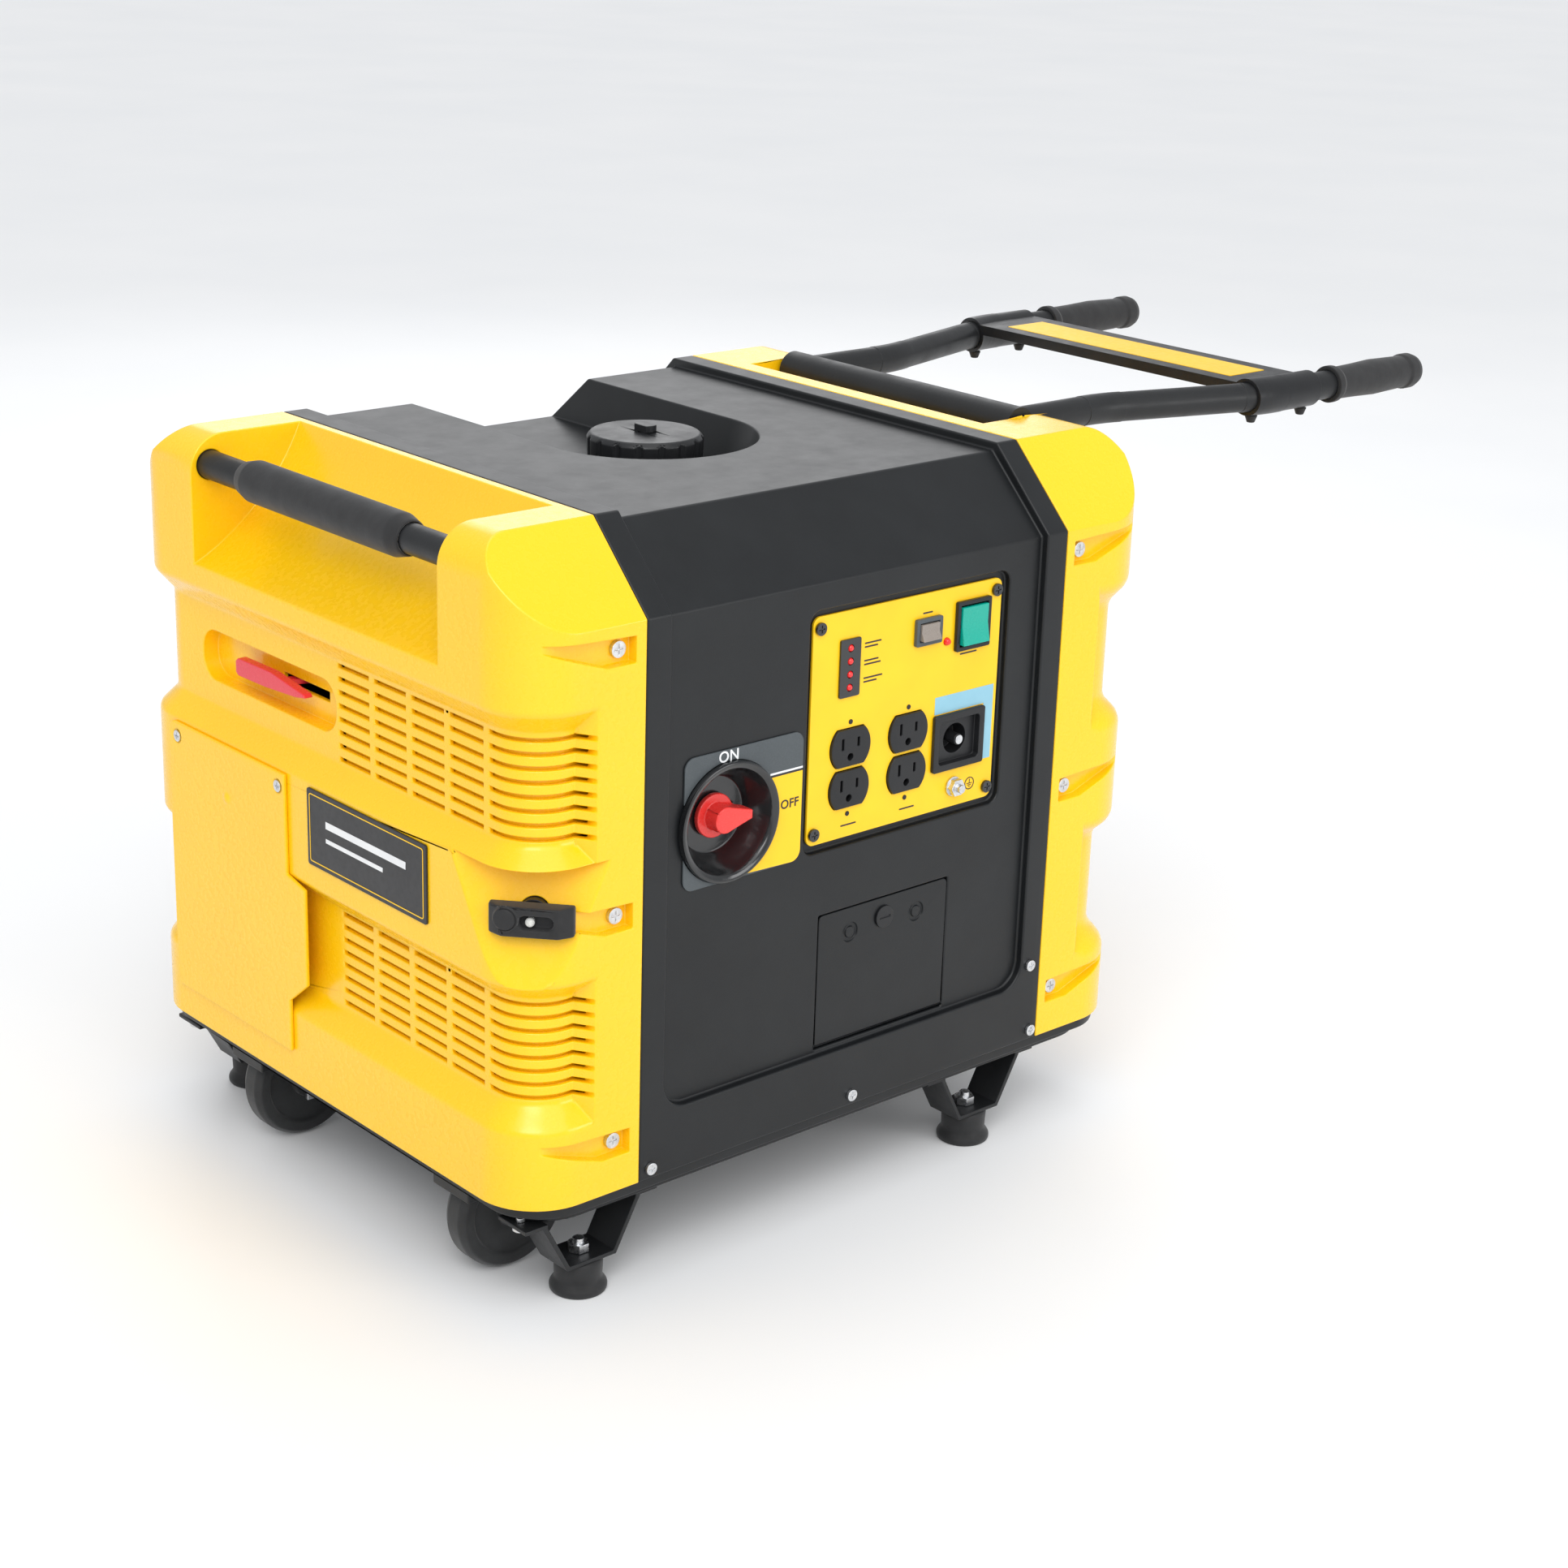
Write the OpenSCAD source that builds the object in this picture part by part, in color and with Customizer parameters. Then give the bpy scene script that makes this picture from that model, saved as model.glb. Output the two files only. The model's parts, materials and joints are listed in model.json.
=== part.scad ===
// Portable enclosed inverter generator with a fold-down trolley handle, in millimetres, +Z up.
// Modules are drawn about the middle of the housing, with +X towards the trolley handle, -Y the side with the
// control panel, and z = 0 at the housing's lower edge. part() then stands the model on z = 0, with its box
// centred on x = 0 and y = 0.

/* [Housing] */
// Length of the black centre shell, between the two end covers
center_len = 372; // [366:1:450]
// Width of the housing, control panel side to back
body_w = 460; // [440:1:555]
// Height of the housing above its lower edge
body_h = 435; // [425:1:525]
// How far each end cover reaches past the centre shell
end_depth = 94; // [94:1:113]
// Radius of the end covers' upright corners
corner_r = 45; // [38:1:54]
// Radius where the top rolls over into an end
roll_r = 26; // [20:1:32]
// Run and drop of the sloping shoulders
shoulder = 54; // [45:1:60]
// Wall of the end covers
cover_wall = 4; // [3:0.1:4.8]
// Wall of the centre shell
shell_wall = 3.5; // [2.9:0.1:4.2]
// Width of the raised rim at each end of the centre shell
rim_w = 20; // [16:1:24]
// How far the centre shell's faces sit below its rims
panel_inset = 6; // [5:0.1:7.2]
// Gap between the housing's lower edge and the ground
ground_clear = 80; // [72:1:96]

/* [Bands and vents] */
// Depth of the two grooves that run round each end cover
band_inset = 13; // [11:0.5:15]
// Height of the lowest band
low_band_h = 54; // [45:1:60]
// Height of the slope between a band and a groove
band_slope = 15; // [12:1:16]
// Height of a groove's flat part
groove_h = 73; // [73:1:80]
// Height of the middle band
mid_band_h = 76; // [74:1:90]
// Rows of slots in each vent
vent_rows = 8; // [6:1:8]
// Rise from one row of slots to the next
vent_pitch = 9.2; // [8:0.1:9.4]
// Height of one slot
vent_slot = 3; // [2.5:0.1:3.6]
// Rise from one column of slots to the next along the end
vent_col = 41.5; // [35:0.5:42]
// Length left plain beside the seam on each flank
flank_plain = 37; // [36:1:44]

/* [Control panel] */
// Width of the control panel's plate
panel_w = 173; // [173:1:200]
// Height of the control panel's plate
panel_h = 158; // [158:1:165]
// Height of the plate's middle above the housing's lower edge
panel_z = 276; // [270:1:280]
// Thickness of the plate
plate_t = 2; // [1.6:0.1:2.4]
// Width of one mains outlet face
outlet_w = 35; // [32:0.5:36]
// Height of one mains outlet face
outlet_h = 26; // [24:0.5:27]
// Rise between the two faces of one outlet
outlet_pitch = 29; // [28:0.5:32]
// Radius of the fuel valve's dished surround
dial_r = 39; // [33:0.5:41]
// Width of the access door
door_w = 120; // [100:1:124]
// Height of the access door
door_h = 97; // [81:1:100]

/* [Handles] */
// Radius of the carry handle's tube
carry_r = 10; // [8.5:0.5:12]
// Radius of the carry handle's grip
carry_grip_r = 14.5; // [13:0.5:17]
// Length of the carry handle's grip
carry_grip_len = 190; // [160:1:228]
// Width of the hand recess behind the carry handle
scoop_w = 286; // [240:1:300]
// Outer radius of the trolley handle's tube
arm_r = 11; // [9.5:0.5:12]
// Radius of the trolley handle's bar at the pivot
pivot_bar_r = 14; // [12:0.5:15]
// Wall of the trolley handle's tube
arm_wall = 2; // [1.5:0.1:2.5]
// Length of the trolley handle from its pivot to the ends of its grips
handle_reach = 424; // [400:1:425]
// Spacing of the two arms at the pivot, middle to middle
arm_gap_in = 224; // [210:1:226]
// Spacing of the two arms at the grips, middle to middle
arm_gap_out = 304; // [290:1:308]
// Radius of the handle's pivot pins
pivot_r = 6; // [5:0.1:7.2]
// Height of the pivot and the open handle above the housing's lower edge, measured down from the top
pivot_drop = 8; // [6:0.5:14]

/* [Running gear] */
// Radius of a wheel
wheel_r = 42.5; // [38:0.5:44]
// Width of a wheel
wheel_w = 22; // [19:0.5:26]
// Radius of the wheels' axle
axle_r = 6; // [5:0.1:7.2]
// Radius of a rubber foot at the ground
foot_r = 19; // [16:0.5:23]
// Height of a rubber foot
foot_h = 24; // [20:0.5:28]

/* [Fuel and engine] */
// Radius of the fuel cap
cap_r = 41; // [36:0.5:45]
// Height of the fuel cap
cap_h = 33; // [28:0.5:33]
// Half the width of the valley in the top, and the radius of its round end
valley_r = 80; // [74:1:84]
// Depth of the valley below the top face
valley_depth = 35; // [34:1:40]
// Radius of the crankshaft
crank_r = 10; // [8.5:0.1:12]
// Radius of the alternator's rotor
rotor_r = 80; // [70:1:88]
// Radius of the recoil starter's pulley
pulley_r = 46; // [40:1:50]

/* [Hidden] */
$fn = 64;
eps = 0.01;
// Radial running clearance between a shaft and its bore
run = 0.05;
// Gap between pieces that only sit next to each other
gap = 0.3;

hl = center_len / 2;
hw = body_w / 2;
end_x = hl + end_depth;
face_y = -hw + panel_inset;
top_z = body_h - panel_inset + 1;
groove1_z = low_band_h + band_slope;
mid_z = groove1_z + groove_h + band_slope - 3;
groove2_z = mid_z + mid_band_h + band_slope - 2;
top_band_z = groove2_z + groove_h + band_slope;
pivot_x = hl + 58;
pivot_z = body_h - pivot_drop;
handle_end_x = pivot_x + handle_reach;
// Screwed-on service cover: how far its face and its pressed dome stand off the end
service_t = 3;
service_dome = 4.6;
service_out = gap / 3 + service_dome;
frame_x = (handle_end_x - end_x - service_out) / 2;
panel_x = hl - 140.5;
dial_x = -hl + 73;
dial_z = 233;
door_x = hl - 155;
door_z = 97;
plate_y = face_y + 5;
carry_x = -hl - 78.5;
carry_z = body_h - 21;
crank_y = 0;
crank_z = 118;
tray_z = -16;
foot_top_z = foot_h - ground_clear;
wheel_x = -hl - 43;
wheel_z = wheel_r + 0.5 - ground_clear;
wheel_ys = [-hw + 88, hw - 122];
foot_xs = [-hl - 26, hl - 40];
foot_y = hw - 30;
service_y = 10;
service_w = 172;

yellow = [1, 0.84, 0.07];
black = [0.13, 0.14, 0.15];
soft_black = [0.09, 0.09, 0.1];
steel = [0.7, 0.71, 0.73];
alu = [0.76, 0.77, 0.78];
red = [0.93, 0.22, 0.2];
grey = [0.3, 0.33, 0.35];

// ---- placing ----

module part(c) {
    color(c) translate([-frame_x, 0, ground_clear]) children();
}

// Local x to the right, y up, z out of the control panel side
module on_front(x, y, z) {
    translate([x, y, z]) rotate([90, 0, 0]) children();
}

// Local x to the right, y up, z out of the left end
module on_left(x, y, z) {
    translate([x, y, z]) rotate([90, 0, -90]) children();
}

// Local x to the right, y up, z out of the right end
module on_right(x, y, z) {
    translate([x, y, z]) rotate([90, 0, 90]) children();
}

// End covers are drawn from the seam outwards: side -1 is the left one, 1 the right one
module at_end(side) {
    translate([side * hl, 0, 0]) mirror([side < 0 ? 1 : 0, 0, 0]) children();
}

// ---- shared shapes ----

module round_rect(w, h, r) {
    square([w - 2 * r, h], center = true);
    square([w, h - 2 * r], center = true);
    for (sx = [-1, 1], sy = [-1, 1]) translate([sx * (w / 2 - r), sy * (h / 2 - r)]) circle(r);
}

module ring(r_out, r_in, h) {
    difference() {
        cylinder(r = r_out, h = h);
        translate([0, 0, -1]) cylinder(r = r_in, h = h + 2);
    }
}

// Pan-head screw along +z, its head standing on z = 0
module screw(head_r, head_h, shank_r, shank_len) {
    difference() {
        cylinder(r = head_r, h = head_h);
        translate([0, 0, head_h - 1]) {
            translate([-head_r * 0.6, -0.5, 0]) cube([head_r * 1.2, 1, 2]);
            translate([-0.5, -head_r * 0.6, 0]) cube([1, head_r * 1.2, 2]);
        }
    }
    translate([0, 0, -shank_len]) cylinder(r = shank_r, h = shank_len + eps);
}

// The housing's outline across its length, as a half section drawn whole: local x is across, y is up
module arch(inset, bottom) {
    w = hw - inset;
    drop = shoulder + inset * 0.414;
    polygon([[-w, bottom], [w, bottom], [w, body_h - drop], [w - drop + inset * 0.8, body_h - inset],
             [-w + drop - inset * 0.8, body_h - inset], [-w, body_h - drop]]);
}

module arch_bar(inset, bottom, x0, x1) {
    translate([x0, 0, 0]) rotate([90, 0, 90]) linear_extrude(x1 - x0) arch(inset, bottom);
}

// ---- end covers ----

// Edge of a cover with its bands, from the corner's axis outwards
module band_profile(t, bottom) {
    r = corner_r - t;
    g = r - band_inset;
    polygon([[0, bottom], [r, bottom], [r, low_band_h], [g, groove1_z], [g, groove1_z + groove_h],
             [r, mid_z], [r, mid_z + mid_band_h], [g, groove2_z], [g, groove2_z + groove_h],
             [r, top_band_z], [r, body_h + 1], [0, body_h + 1]]);
}

module banded_body(t, bottom) {
    cx = end_depth - corner_r;
    cy = hw - corner_r;
    plain = flank_plain - t;
    translate([0, -cy, bottom]) cube([cx + eps, 2 * cy, body_h + 1 - bottom]);
    translate([cx, cy, 0]) rotate([90, 0, 0]) linear_extrude(2 * cy) band_profile(t, bottom);
    for (s = [-1, 1]) {
        translate([cx, s * cy, 0]) rotate([0, 0, s < 0 ? -90 : 0])
            rotate_extrude(angle = 90) band_profile(t, bottom);
        mirror([0, s < 0 ? 1 : 0, 0]) translate([0, cy, 0]) rotate([90, 0, 90]) linear_extrude(cx)
            band_profile(t, bottom);
    }
    translate([0, 0, bottom]) linear_extrude(body_h + 1 - bottom)
        polygon([[0, -hw + t], [plain, -hw + t], [plain + 8, -hw + t + band_inset],
                 [plain + 8, hw - t - band_inset], [plain, hw - t], [0, hw - t]]);
}

module rolled_block(t, bottom) {
    r = roll_r - t;
    rotate([90, 0, 0]) linear_extrude(body_w + 2, center = true) {
        translate([-1, bottom]) square([end_depth - t - r + 1, body_h - t - bottom]);
        translate([-1, bottom]) square([end_depth - t + 1, body_h - t - r - bottom]);
        translate([end_depth - t - r, body_h - t - r]) circle(r);
    }
}

module cover_body(t, bottom) {
    intersection() {
        banded_body(t, bottom);
        rolled_block(t, bottom);
        arch_bar(t, bottom, -1, end_depth + 1);
    }
}

// Tapered screw pockets on both flanks
pocket_zs = [34, mid_z + 36, body_h - 71];
module flank_pockets(t) {
    deep = 8 + t;
    for (s = [-1, 1], z = pocket_zs) {
        translate([0, s * (hw - deep / 2 + 5), z]) rotate([90, 0, 0]) linear_extrude(deep + 10, center = true)
            polygon([[8 - t, 8 + t], [86, 11 + t], [80, 8 - t], [30 + t, -9 - t], [8 - t, -9 - t]]);
    }
}

module flank_screw_holes() {
    for (s = [-1, 1], z = pocket_zs) translate([18, s * (hw - 8), z]) rotate([90, 0, 0])
        cylinder(r = 2.7, h = 30, center = true);
}

// Hand recess for the carry handle: one wide cylinder, through the top edge and the end's upper half
module scoop(t) {
    a = [7, body_h];
    b = [end_depth + 4, body_h - 90];
    sag = 12;
    half = norm(b - a) / 2;
    r = (half * half + sag * sag) / (2 * sag);
    mid = (a + b) / 2;
    out = [a.y - b.y, b.x - a.x] / norm(b - a);
    c = mid + out * (r - sag);
    w = scoop_w + 2 * t;
    intersection() {
        translate([c.x, 0, c.y]) rotate([90, 0, 0]) cylinder(r = r + t, h = w, center = true, $fn = 160);
        translate([0, -w / 2, body_h - 130]) cube([end_depth + 30, w, 160]);
    }
}

// Wedge across the near corner for the recoil grip, drawn from the sharp corner
recoil_turn = -42;
recoil_z = mid_z + 43;
recoil_top = mid_z + 77;
module at_recoil() {
    at_end(-1) translate([end_depth, -hw, 0]) rotate([0, 0, recoil_turn]) children();
}

module recoil_pocket(t) {
    translate([end_depth, -hw, 0]) rotate([0, 0, recoil_turn]) rotate([90, 0, 0])
        linear_extrude(130, center = true)
            polygon([[-50 - t, recoil_top + t], [-20 - t, mid_z - 2], [40, mid_z - 2], [40, recoil_top + t]]);
}

// Shallow trough for the choke lever in the upper groove of the left cover
choke_y = 45;
choke_z = groove2_z + 37;
module choke_trough(t) {
    translate([end_depth - band_inset - 12 - t, 74, choke_z]) rotate([90, 0, 90])
        linear_extrude(40) round_rect(166 + 2 * t, 36 + 2 * t, 16);
}

module vent_rows_at(z0) {
    y0 = -hw + 55;
    for (i = [0 : vent_rows - 1]) translate([0, 0, z0 + 3 + i * vent_pitch]) {
        translate([flank_plain, -hw - 10, 0]) cube([end_depth, 65 - 3, vent_slot]);
        for (k = [0 : 3]) translate([end_depth - 30, y0 + k * vent_col + 3, 0])
            cube([50, vent_col - 6, vent_slot]);
    }
}

module left_end_cover() part(yellow) at_end(-1) {
    difference() {
        cover_body(0, 0);
        difference() {
            translate([-eps, 0, 0]) cover_body(cover_wall, -1);
            scoop(cover_wall);
            recoil_pocket(cover_wall);
            choke_trough(cover_wall);
            flank_pockets(cover_wall);
        }
        scoop(0);
        recoil_pocket(0);
        choke_trough(0);
        flank_pockets(0);
        flank_screw_holes();
        vent_rows_at(groove2_z);
        vent_rows_at(groove1_z);
        // tube of the carry handle
        translate([-hl - carry_x, 0, carry_z]) rotate([90, 0, 0])
            cylinder(r = carry_r + gap, h = scoop_w + 40, center = true);
        // slot of the choke lever
        translate([0, choke_y, choke_z - 3.5]) translate([40, -28, 0]) cube([end_depth, 56, 7]);
        // opening behind the service cover
        translate([end_depth - 30, service_y + 30, 36]) cube([60, service_w - 50, mid_z + 22]);
        service_screw_holes();
        // hole of the rope guide
        translate([end_depth, -hw, recoil_z]) rotate([0, 0, recoil_turn])
            translate([-70, 0, 0]) rotate([0, 90, 0]) cylinder(r = 10 + gap, h = 60);
    }
}

// Bay in the right end that the folded handle drops into
bay_u = 33;
bay_wide = arm_gap_out / 2 + 18;
bay_narrow = arm_gap_in / 2 + 14;
bay_step_z = body_h - 83;
module handle_bay(t) {
    translate([bay_u - t, -bay_wide - t, -2]) cube([end_depth, 2 * (bay_wide + t), bay_step_z + t + 2]);
    translate([bay_u - t, -bay_narrow - t, -2]) cube([end_depth, 2 * (bay_narrow + t), body_h + 10]);
    rotate([90, 0, 0]) linear_extrude(2 * (bay_narrow + t), center = true)
        polygon([
            [17 - t, body_h + 1], [17 - t, body_h - t * 0.4],
            [bay_u, body_h - 35 - t], [bay_u + 1, body_h + 1]
        ]);
}

grille_w = 150;
grille_h = 130;
grille_z = 190;
module right_end_cover() part(yellow) at_end(1) {
    difference() {
        cover_body(0, 0);
        difference() {
            translate([-eps, 0, 0]) cover_body(cover_wall, -1);
            handle_bay(cover_wall);
            flank_pockets(cover_wall);
        }
        handle_bay(0);
        flank_pockets(0);
        flank_screw_holes();
        translate([bay_u - 20, -grille_w / 2 + 8, grille_z - grille_h / 2 + 8])
            cube([60, grille_w - 16, grille_h - 16]);
        for (s = [-1, 1], z = [-1, 1])
            translate([bay_u - 20, s * (grille_w / 2 - 4), grille_z + z * (grille_h / 2 - 4)])
            rotate([0, 90, 0]) cylinder(r = 1.7, h = 40);
        translate([58, 0, pivot_z]) rotate([90, 0, 0])
            cylinder(r = pivot_r + 2, h = 2 * bay_narrow + 60, center = true);
    }
}

module exhaust_grille() part(soft_black) on_right(hl + bay_u, 0, grille_z) {
    difference() {
        linear_extrude(4) round_rect(grille_w, grille_h, 10);
        for (i = [0 : 8]) translate([-grille_w / 2 + 14, -grille_h / 2 + 15 + i * 11.5, -1])
            cube([grille_w - 28, 7, 8]);
        translate([30, 0, -1]) cylinder(r = 17, h = 8);
    }
    translate([30, 0, 0]) ring(20, 15.5, 4);
    for (s = [-1, 1], z = [-1, 1]) translate([s * (grille_w / 2 - 4), z * (grille_h / 2 - 4), 4])
        screw(2.6, 1.4, 1.6, 10);
}

// ---- service cover and name plate ----

service_pts = [[0, 0], [service_w - 22, 0], [service_w - 22, 38], [service_w, 56], [service_w, 126],
               [service_w - 22, 131], [service_w - 22, 202], [0, 202]];
service_screws = [[service_w - 30, 192], [12, 192]];
module at_service() {
    on_left(-end_x, service_y + service_w, 25) children();
}

module service_screw_holes() {
    at_service_local() for (p = service_screws) translate([p.x, p.y, -40]) cylinder(r = 2.2, h = 60);
}

module at_service_local() {
    translate([end_depth, service_y + service_w, 25]) rotate([90, 0, 90]) mirror([1, 0, 0]) children();
}

// Height of the screw seats in the service cover
service_seat = 1.8;
module service_cover() part(yellow) at_service() {
    difference() {
        union() {
            translate([0, 0, gap / 3]) linear_extrude(service_t) intersection() {
                polygon(service_pts);
                translate([service_w / 2, 100]) round_rect(service_w + 0.1, 204, 8);
            }
            translate([76, 164, service_out - 7]) sphere(r = 7);
        }
        for (p = service_screws) translate([p.x, p.y, service_seat]) cylinder(r = 5, h = 10);
        for (p = service_screws) translate([p.x, p.y, -1]) cylinder(r = 2.2, h = 10);
        translate([-100, -100, gap / 3 - 20]) cube([400, 400, 20]);
    }
}

module service_cover_screws() part(steel) at_service() {
    for (p = service_screws) translate([p.x, p.y, service_seat]) screw(4.2, 1.8, 2, 12);
}

module name_plate() part(black) on_left(-end_x - gap / 3, -62.5, mid_z + mid_band_h / 2 + 7) {
    linear_extrude(1.6) round_rect(137, 54, 2);
}

// ---- base and feet ----

module tray_outline(inset) {
    round_rect(center_len + 2 * end_depth - 12 - 2 * inset, body_w - 6 - 2 * inset, corner_r - 5);
}

// Half the length of a wheel well, and its height: the wheel's chord at the tray, and its top
well_half = sqrt(pow(wheel_r, 2) - pow(tray_z - wheel_z, 2)) + 4;
well_top = wheel_z + wheel_r + 4;
module wheel_wells(grow) {
    for (y = wheel_ys)
        translate([wheel_x - well_half - grow, y - wheel_w / 2 - 6 - grow, tray_z - 1 + grow / 3])
        cube([2 * (well_half + grow), wheel_w + 12 + 2 * grow, well_top - tray_z + 1 + grow * 2 / 3]);
}

module base_tray() part(black) {
    difference() {
        union() {
            difference() {
                union() {
                    translate([0, 0, -8]) linear_extrude(8) tray_outline(0);
                    translate([0, 0, tray_z]) linear_extrude(9) tray_outline(9);
                }
                translate([0, 0, tray_z + 3]) linear_extrude(20) tray_outline(13);
            }
            wheel_wells(3);
        }
        wheel_wells(0);
        for (s = [-1, 1], x = foot_xs, d = [-1, 1]) translate([x + d * strap_bolt, s * foot_y, tray_z - 1])
            cylinder(r = 3.2, h = 6);
    }
}

// Bent strap that carries one rubber foot below the tray
strap_bolt = 47;
module foot_strap() {
    h = -tray_z + foot_top_z;
    edge = strap_bolt + 7;
    bend_x = strap_bolt - 7;
    rotate([90, 0, 0]) linear_extrude(30, center = true) {
        difference() {
            polygon([
                [-edge, 0], [edge, 0], [edge, -3], [bend_x, -3], [20, h], [-20, h], [-bend_x, -3], [-edge, -3]
            ]);
            polygon([[4 - bend_x, -3], [bend_x - 4, -3], [18, h + 3], [-18, h + 3]]);
            translate([4 - bend_x, -3 - eps]) square([2 * bend_x - 8, 4]);
        }
    }
}

module at_feet() {
    for (s = [-1, 1], x = foot_xs) translate([x, s * foot_y, 0]) children();
}

module foot_brackets() part(black) at_feet() {
    difference() {
        translate([0, 0, tray_z - gap / 3]) foot_strap();
        translate([0, 0, foot_top_z - 1]) cylinder(r = 4.2, h = 6);
        for (d = [-1, 1]) translate([d * strap_bolt, 0, tray_z - 10]) cylinder(r = 3.2, h = 20);
    }
}

module rubber_feet() part(soft_black) at_feet() {
    difference() {
        translate([0, 0, -ground_clear]) rotate_extrude()
            polygon([[0, 0], [foot_r, 0], [foot_r + 0.5, 4], [foot_r - 3, 9], [foot_r - 2.5, foot_h - 2],
                     [foot_r - 4.5, foot_h - gap / 3], [0, foot_h - gap / 3]]);
        translate([0, 0, -ground_clear + 8]) cylinder(r = 4.2, h = foot_h);
    }
}

module foot_bolts() part(steel) at_feet() {
    translate([0, 0, -ground_clear + 8.5]) cylinder(r = 4, h = foot_h + 4);
    translate([0, 0, foot_top_z + 3.2]) cylinder(r = 7.5, h = 6, $fn = 6);
    for (d = [-1, 1]) translate([d * strap_bolt, 0, tray_z - 3.2]) mirror([0, 0, 1]) screw(5.5, 3, 3, 6);
}

// ---- wheels ----

module wheel(y) {
    hub_w = wheel_w + 4;
    translate([wheel_x, y, wheel_z]) rotate([90, 0, 0]) difference() {
        union() {
            rotate_extrude() polygon([[axle_r, -wheel_w / 2 + 3], [wheel_r - 12, -wheel_w / 2 + 3],
                [wheel_r - 10, -wheel_w / 2], [wheel_r - 3, -wheel_w / 2], [wheel_r, -wheel_w / 2 + 5],
                [wheel_r, wheel_w / 2 - 5], [wheel_r - 3, wheel_w / 2], [wheel_r - 10, wheel_w / 2],
                [wheel_r - 12, wheel_w / 2 - 3], [axle_r, wheel_w / 2 - 3]]);
            cylinder(r = 12, h = hub_w, center = true);
        }
        cylinder(r = axle_r + run, h = hub_w + 2, center = true);
    }
}

module wheel_near() part(soft_black) wheel(wheel_ys[0]);

module wheel_far() part(soft_black) wheel(wheel_ys[1]);

// Axle with its collars, held in brackets under the tray
module wheel_axle() part(steel) {
    y0 = wheel_ys[0] - wheel_w / 2 - 14;
    y1 = wheel_ys[1] + wheel_w / 2 + 14;
    translate([wheel_x, y0, wheel_z]) rotate([-90, 0, 0]) cylinder(r = axle_r, h = y1 - y0);
    for (y = wheel_ys, s = [-1, 1]) translate([wheel_x, y + s * (wheel_w / 2 + 11), wheel_z]) {
        difference() {
            translate([-9, -1.5, -9]) cube([18, 3, tray_z - wheel_z + 9 - gap / 3]);
            rotate([90, 0, 0]) cylinder(r = axle_r - eps, h = 10, center = true);
        }
        translate([-9, -1.5 + (s > 0 ? 0 : -9), tray_z - wheel_z - 3 - gap / 3]) cube([18, 12, 3]);
    }
}

// ---- centre shell ----

module valley(t) {
    r2 = valley_r + t;
    r1 = valley_r - 8 + t;
    h = valley_depth + 8;
    z = top_z - valley_depth - t;
    k = 8 / valley_depth;
    translate([0, 4, z]) cylinder(r1 = r1, r2 = r1 + h * k, h = h, $fn = 96);
    translate([0, 4, z]) rotate([-90, 0, 0]) mirror([0, 1, 0]) linear_extrude(hw + 10)
        polygon([[-r1, 0], [r1, 0], [r1 + h * k, h], [-r1 - h * k, h]]);
}

module panel_recess_window() {
    on_front(0, 0, 0) translate([0, (body_h + 60 + 45) / 2, 0]) linear_extrude(body_w + 40, center = true)
        round_rect(center_len - 2 * rim_w, body_h + 60 - 45, 20);
}

module front_cut(x, z, w, h, r, deep) {
    on_front(x, face_y + deep, z) linear_extrude(40) round_rect(w, h, r);
}

module center_shell() part(black) {
    difference() {
        arch_bar(0, 0, -hl + gap / 2, hl - gap / 2);
        // faces between the rims
        difference() {
            panel_recess_window();
            arch_bar(panel_inset, -10, -hl, hl);
        }
        // inside
        difference() {
            arch_bar(panel_inset + shell_wall, -1, -hl - 1, hl + 1);
            valley(shell_wall);
            on_front(panel_x, face_y + 5 + shell_wall, panel_z) linear_extrude(30)
                round_rect(panel_w + 20, panel_h + 20, 10);
            on_front(door_x, face_y + 4 + shell_wall, door_z)
                linear_extrude(30) round_rect(door_w + 16, door_h + 16, 8);
        }
        valley(0);
        translate([0, 4, top_z - valley_depth - 20]) cylinder(r = 27 + gap, h = 40);
        // control panel, fuel dial, access door
        front_cut(panel_x, panel_z, panel_w + 10, panel_h + 10, 9, 5);
        front_cut(panel_x, panel_z, panel_w - 12, panel_h - 12, 4, 30);
        front_cut(dial_x, dial_z, 2 * dial_r, 2 * dial_r, dial_r - eps, 30);
        front_cut(door_x, door_z, door_w + 1, door_h + 1, 1, 4);
        front_cut(door_x, door_z + 3, door_w - 8, door_h - 10, 3, 30);
        door_pin(door_pin_r, door_w + 14);
        for (p = panel_screw_pts)
            on_front(panel_x + p.x, face_y + 20, panel_z + p.y) cylinder(r = 1.7, h = 40);
        for (p = shell_screw_pts, s = [-1, 1]) translate([p.x, s * (hw - 6), p.y]) rotate([90, 0, 0])
            cylinder(r = 2.2, h = 40, center = true);
        // rear vent panel
        translate([0, hw - 20, 190]) rotate([-90, 0, 0]) linear_extrude(40) round_rect(220, 150, 6);
    }
}

rear_z = 190;
module rear_panel() part(soft_black)
translate([0, hw - panel_inset - shell_wall, rear_z]) rotate([90, 0, 0]) {
    difference() {
        union() {
            translate([0, 0, gap / 3]) linear_extrude(3) round_rect(236, 166, 8);
            translate([0, 0, -shell_wall - 1]) linear_extrude(shell_wall + 2) round_rect(219.4, 149.4, 6);
        }
        for (i = [0 : 9], k = [-1, 1]) translate([k * 54 - 46, -64 + i * 13, -20]) cube([92, 6, 40]);
    }
}

shell_screw_pts = [[-hl + 9, 8], [1, 8], [hl - 8, 8], [hl - 12, 60]];
module shell_screws() part(steel) {
    for (p = shell_screw_pts, s = [-1, 1])
        translate([p.x, s * (hw + gap / 3), p.y]) rotate([s < 0 ? 90 : -90, 0, 0]) screw(4.2, 2.4, 2, 9);
}

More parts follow.
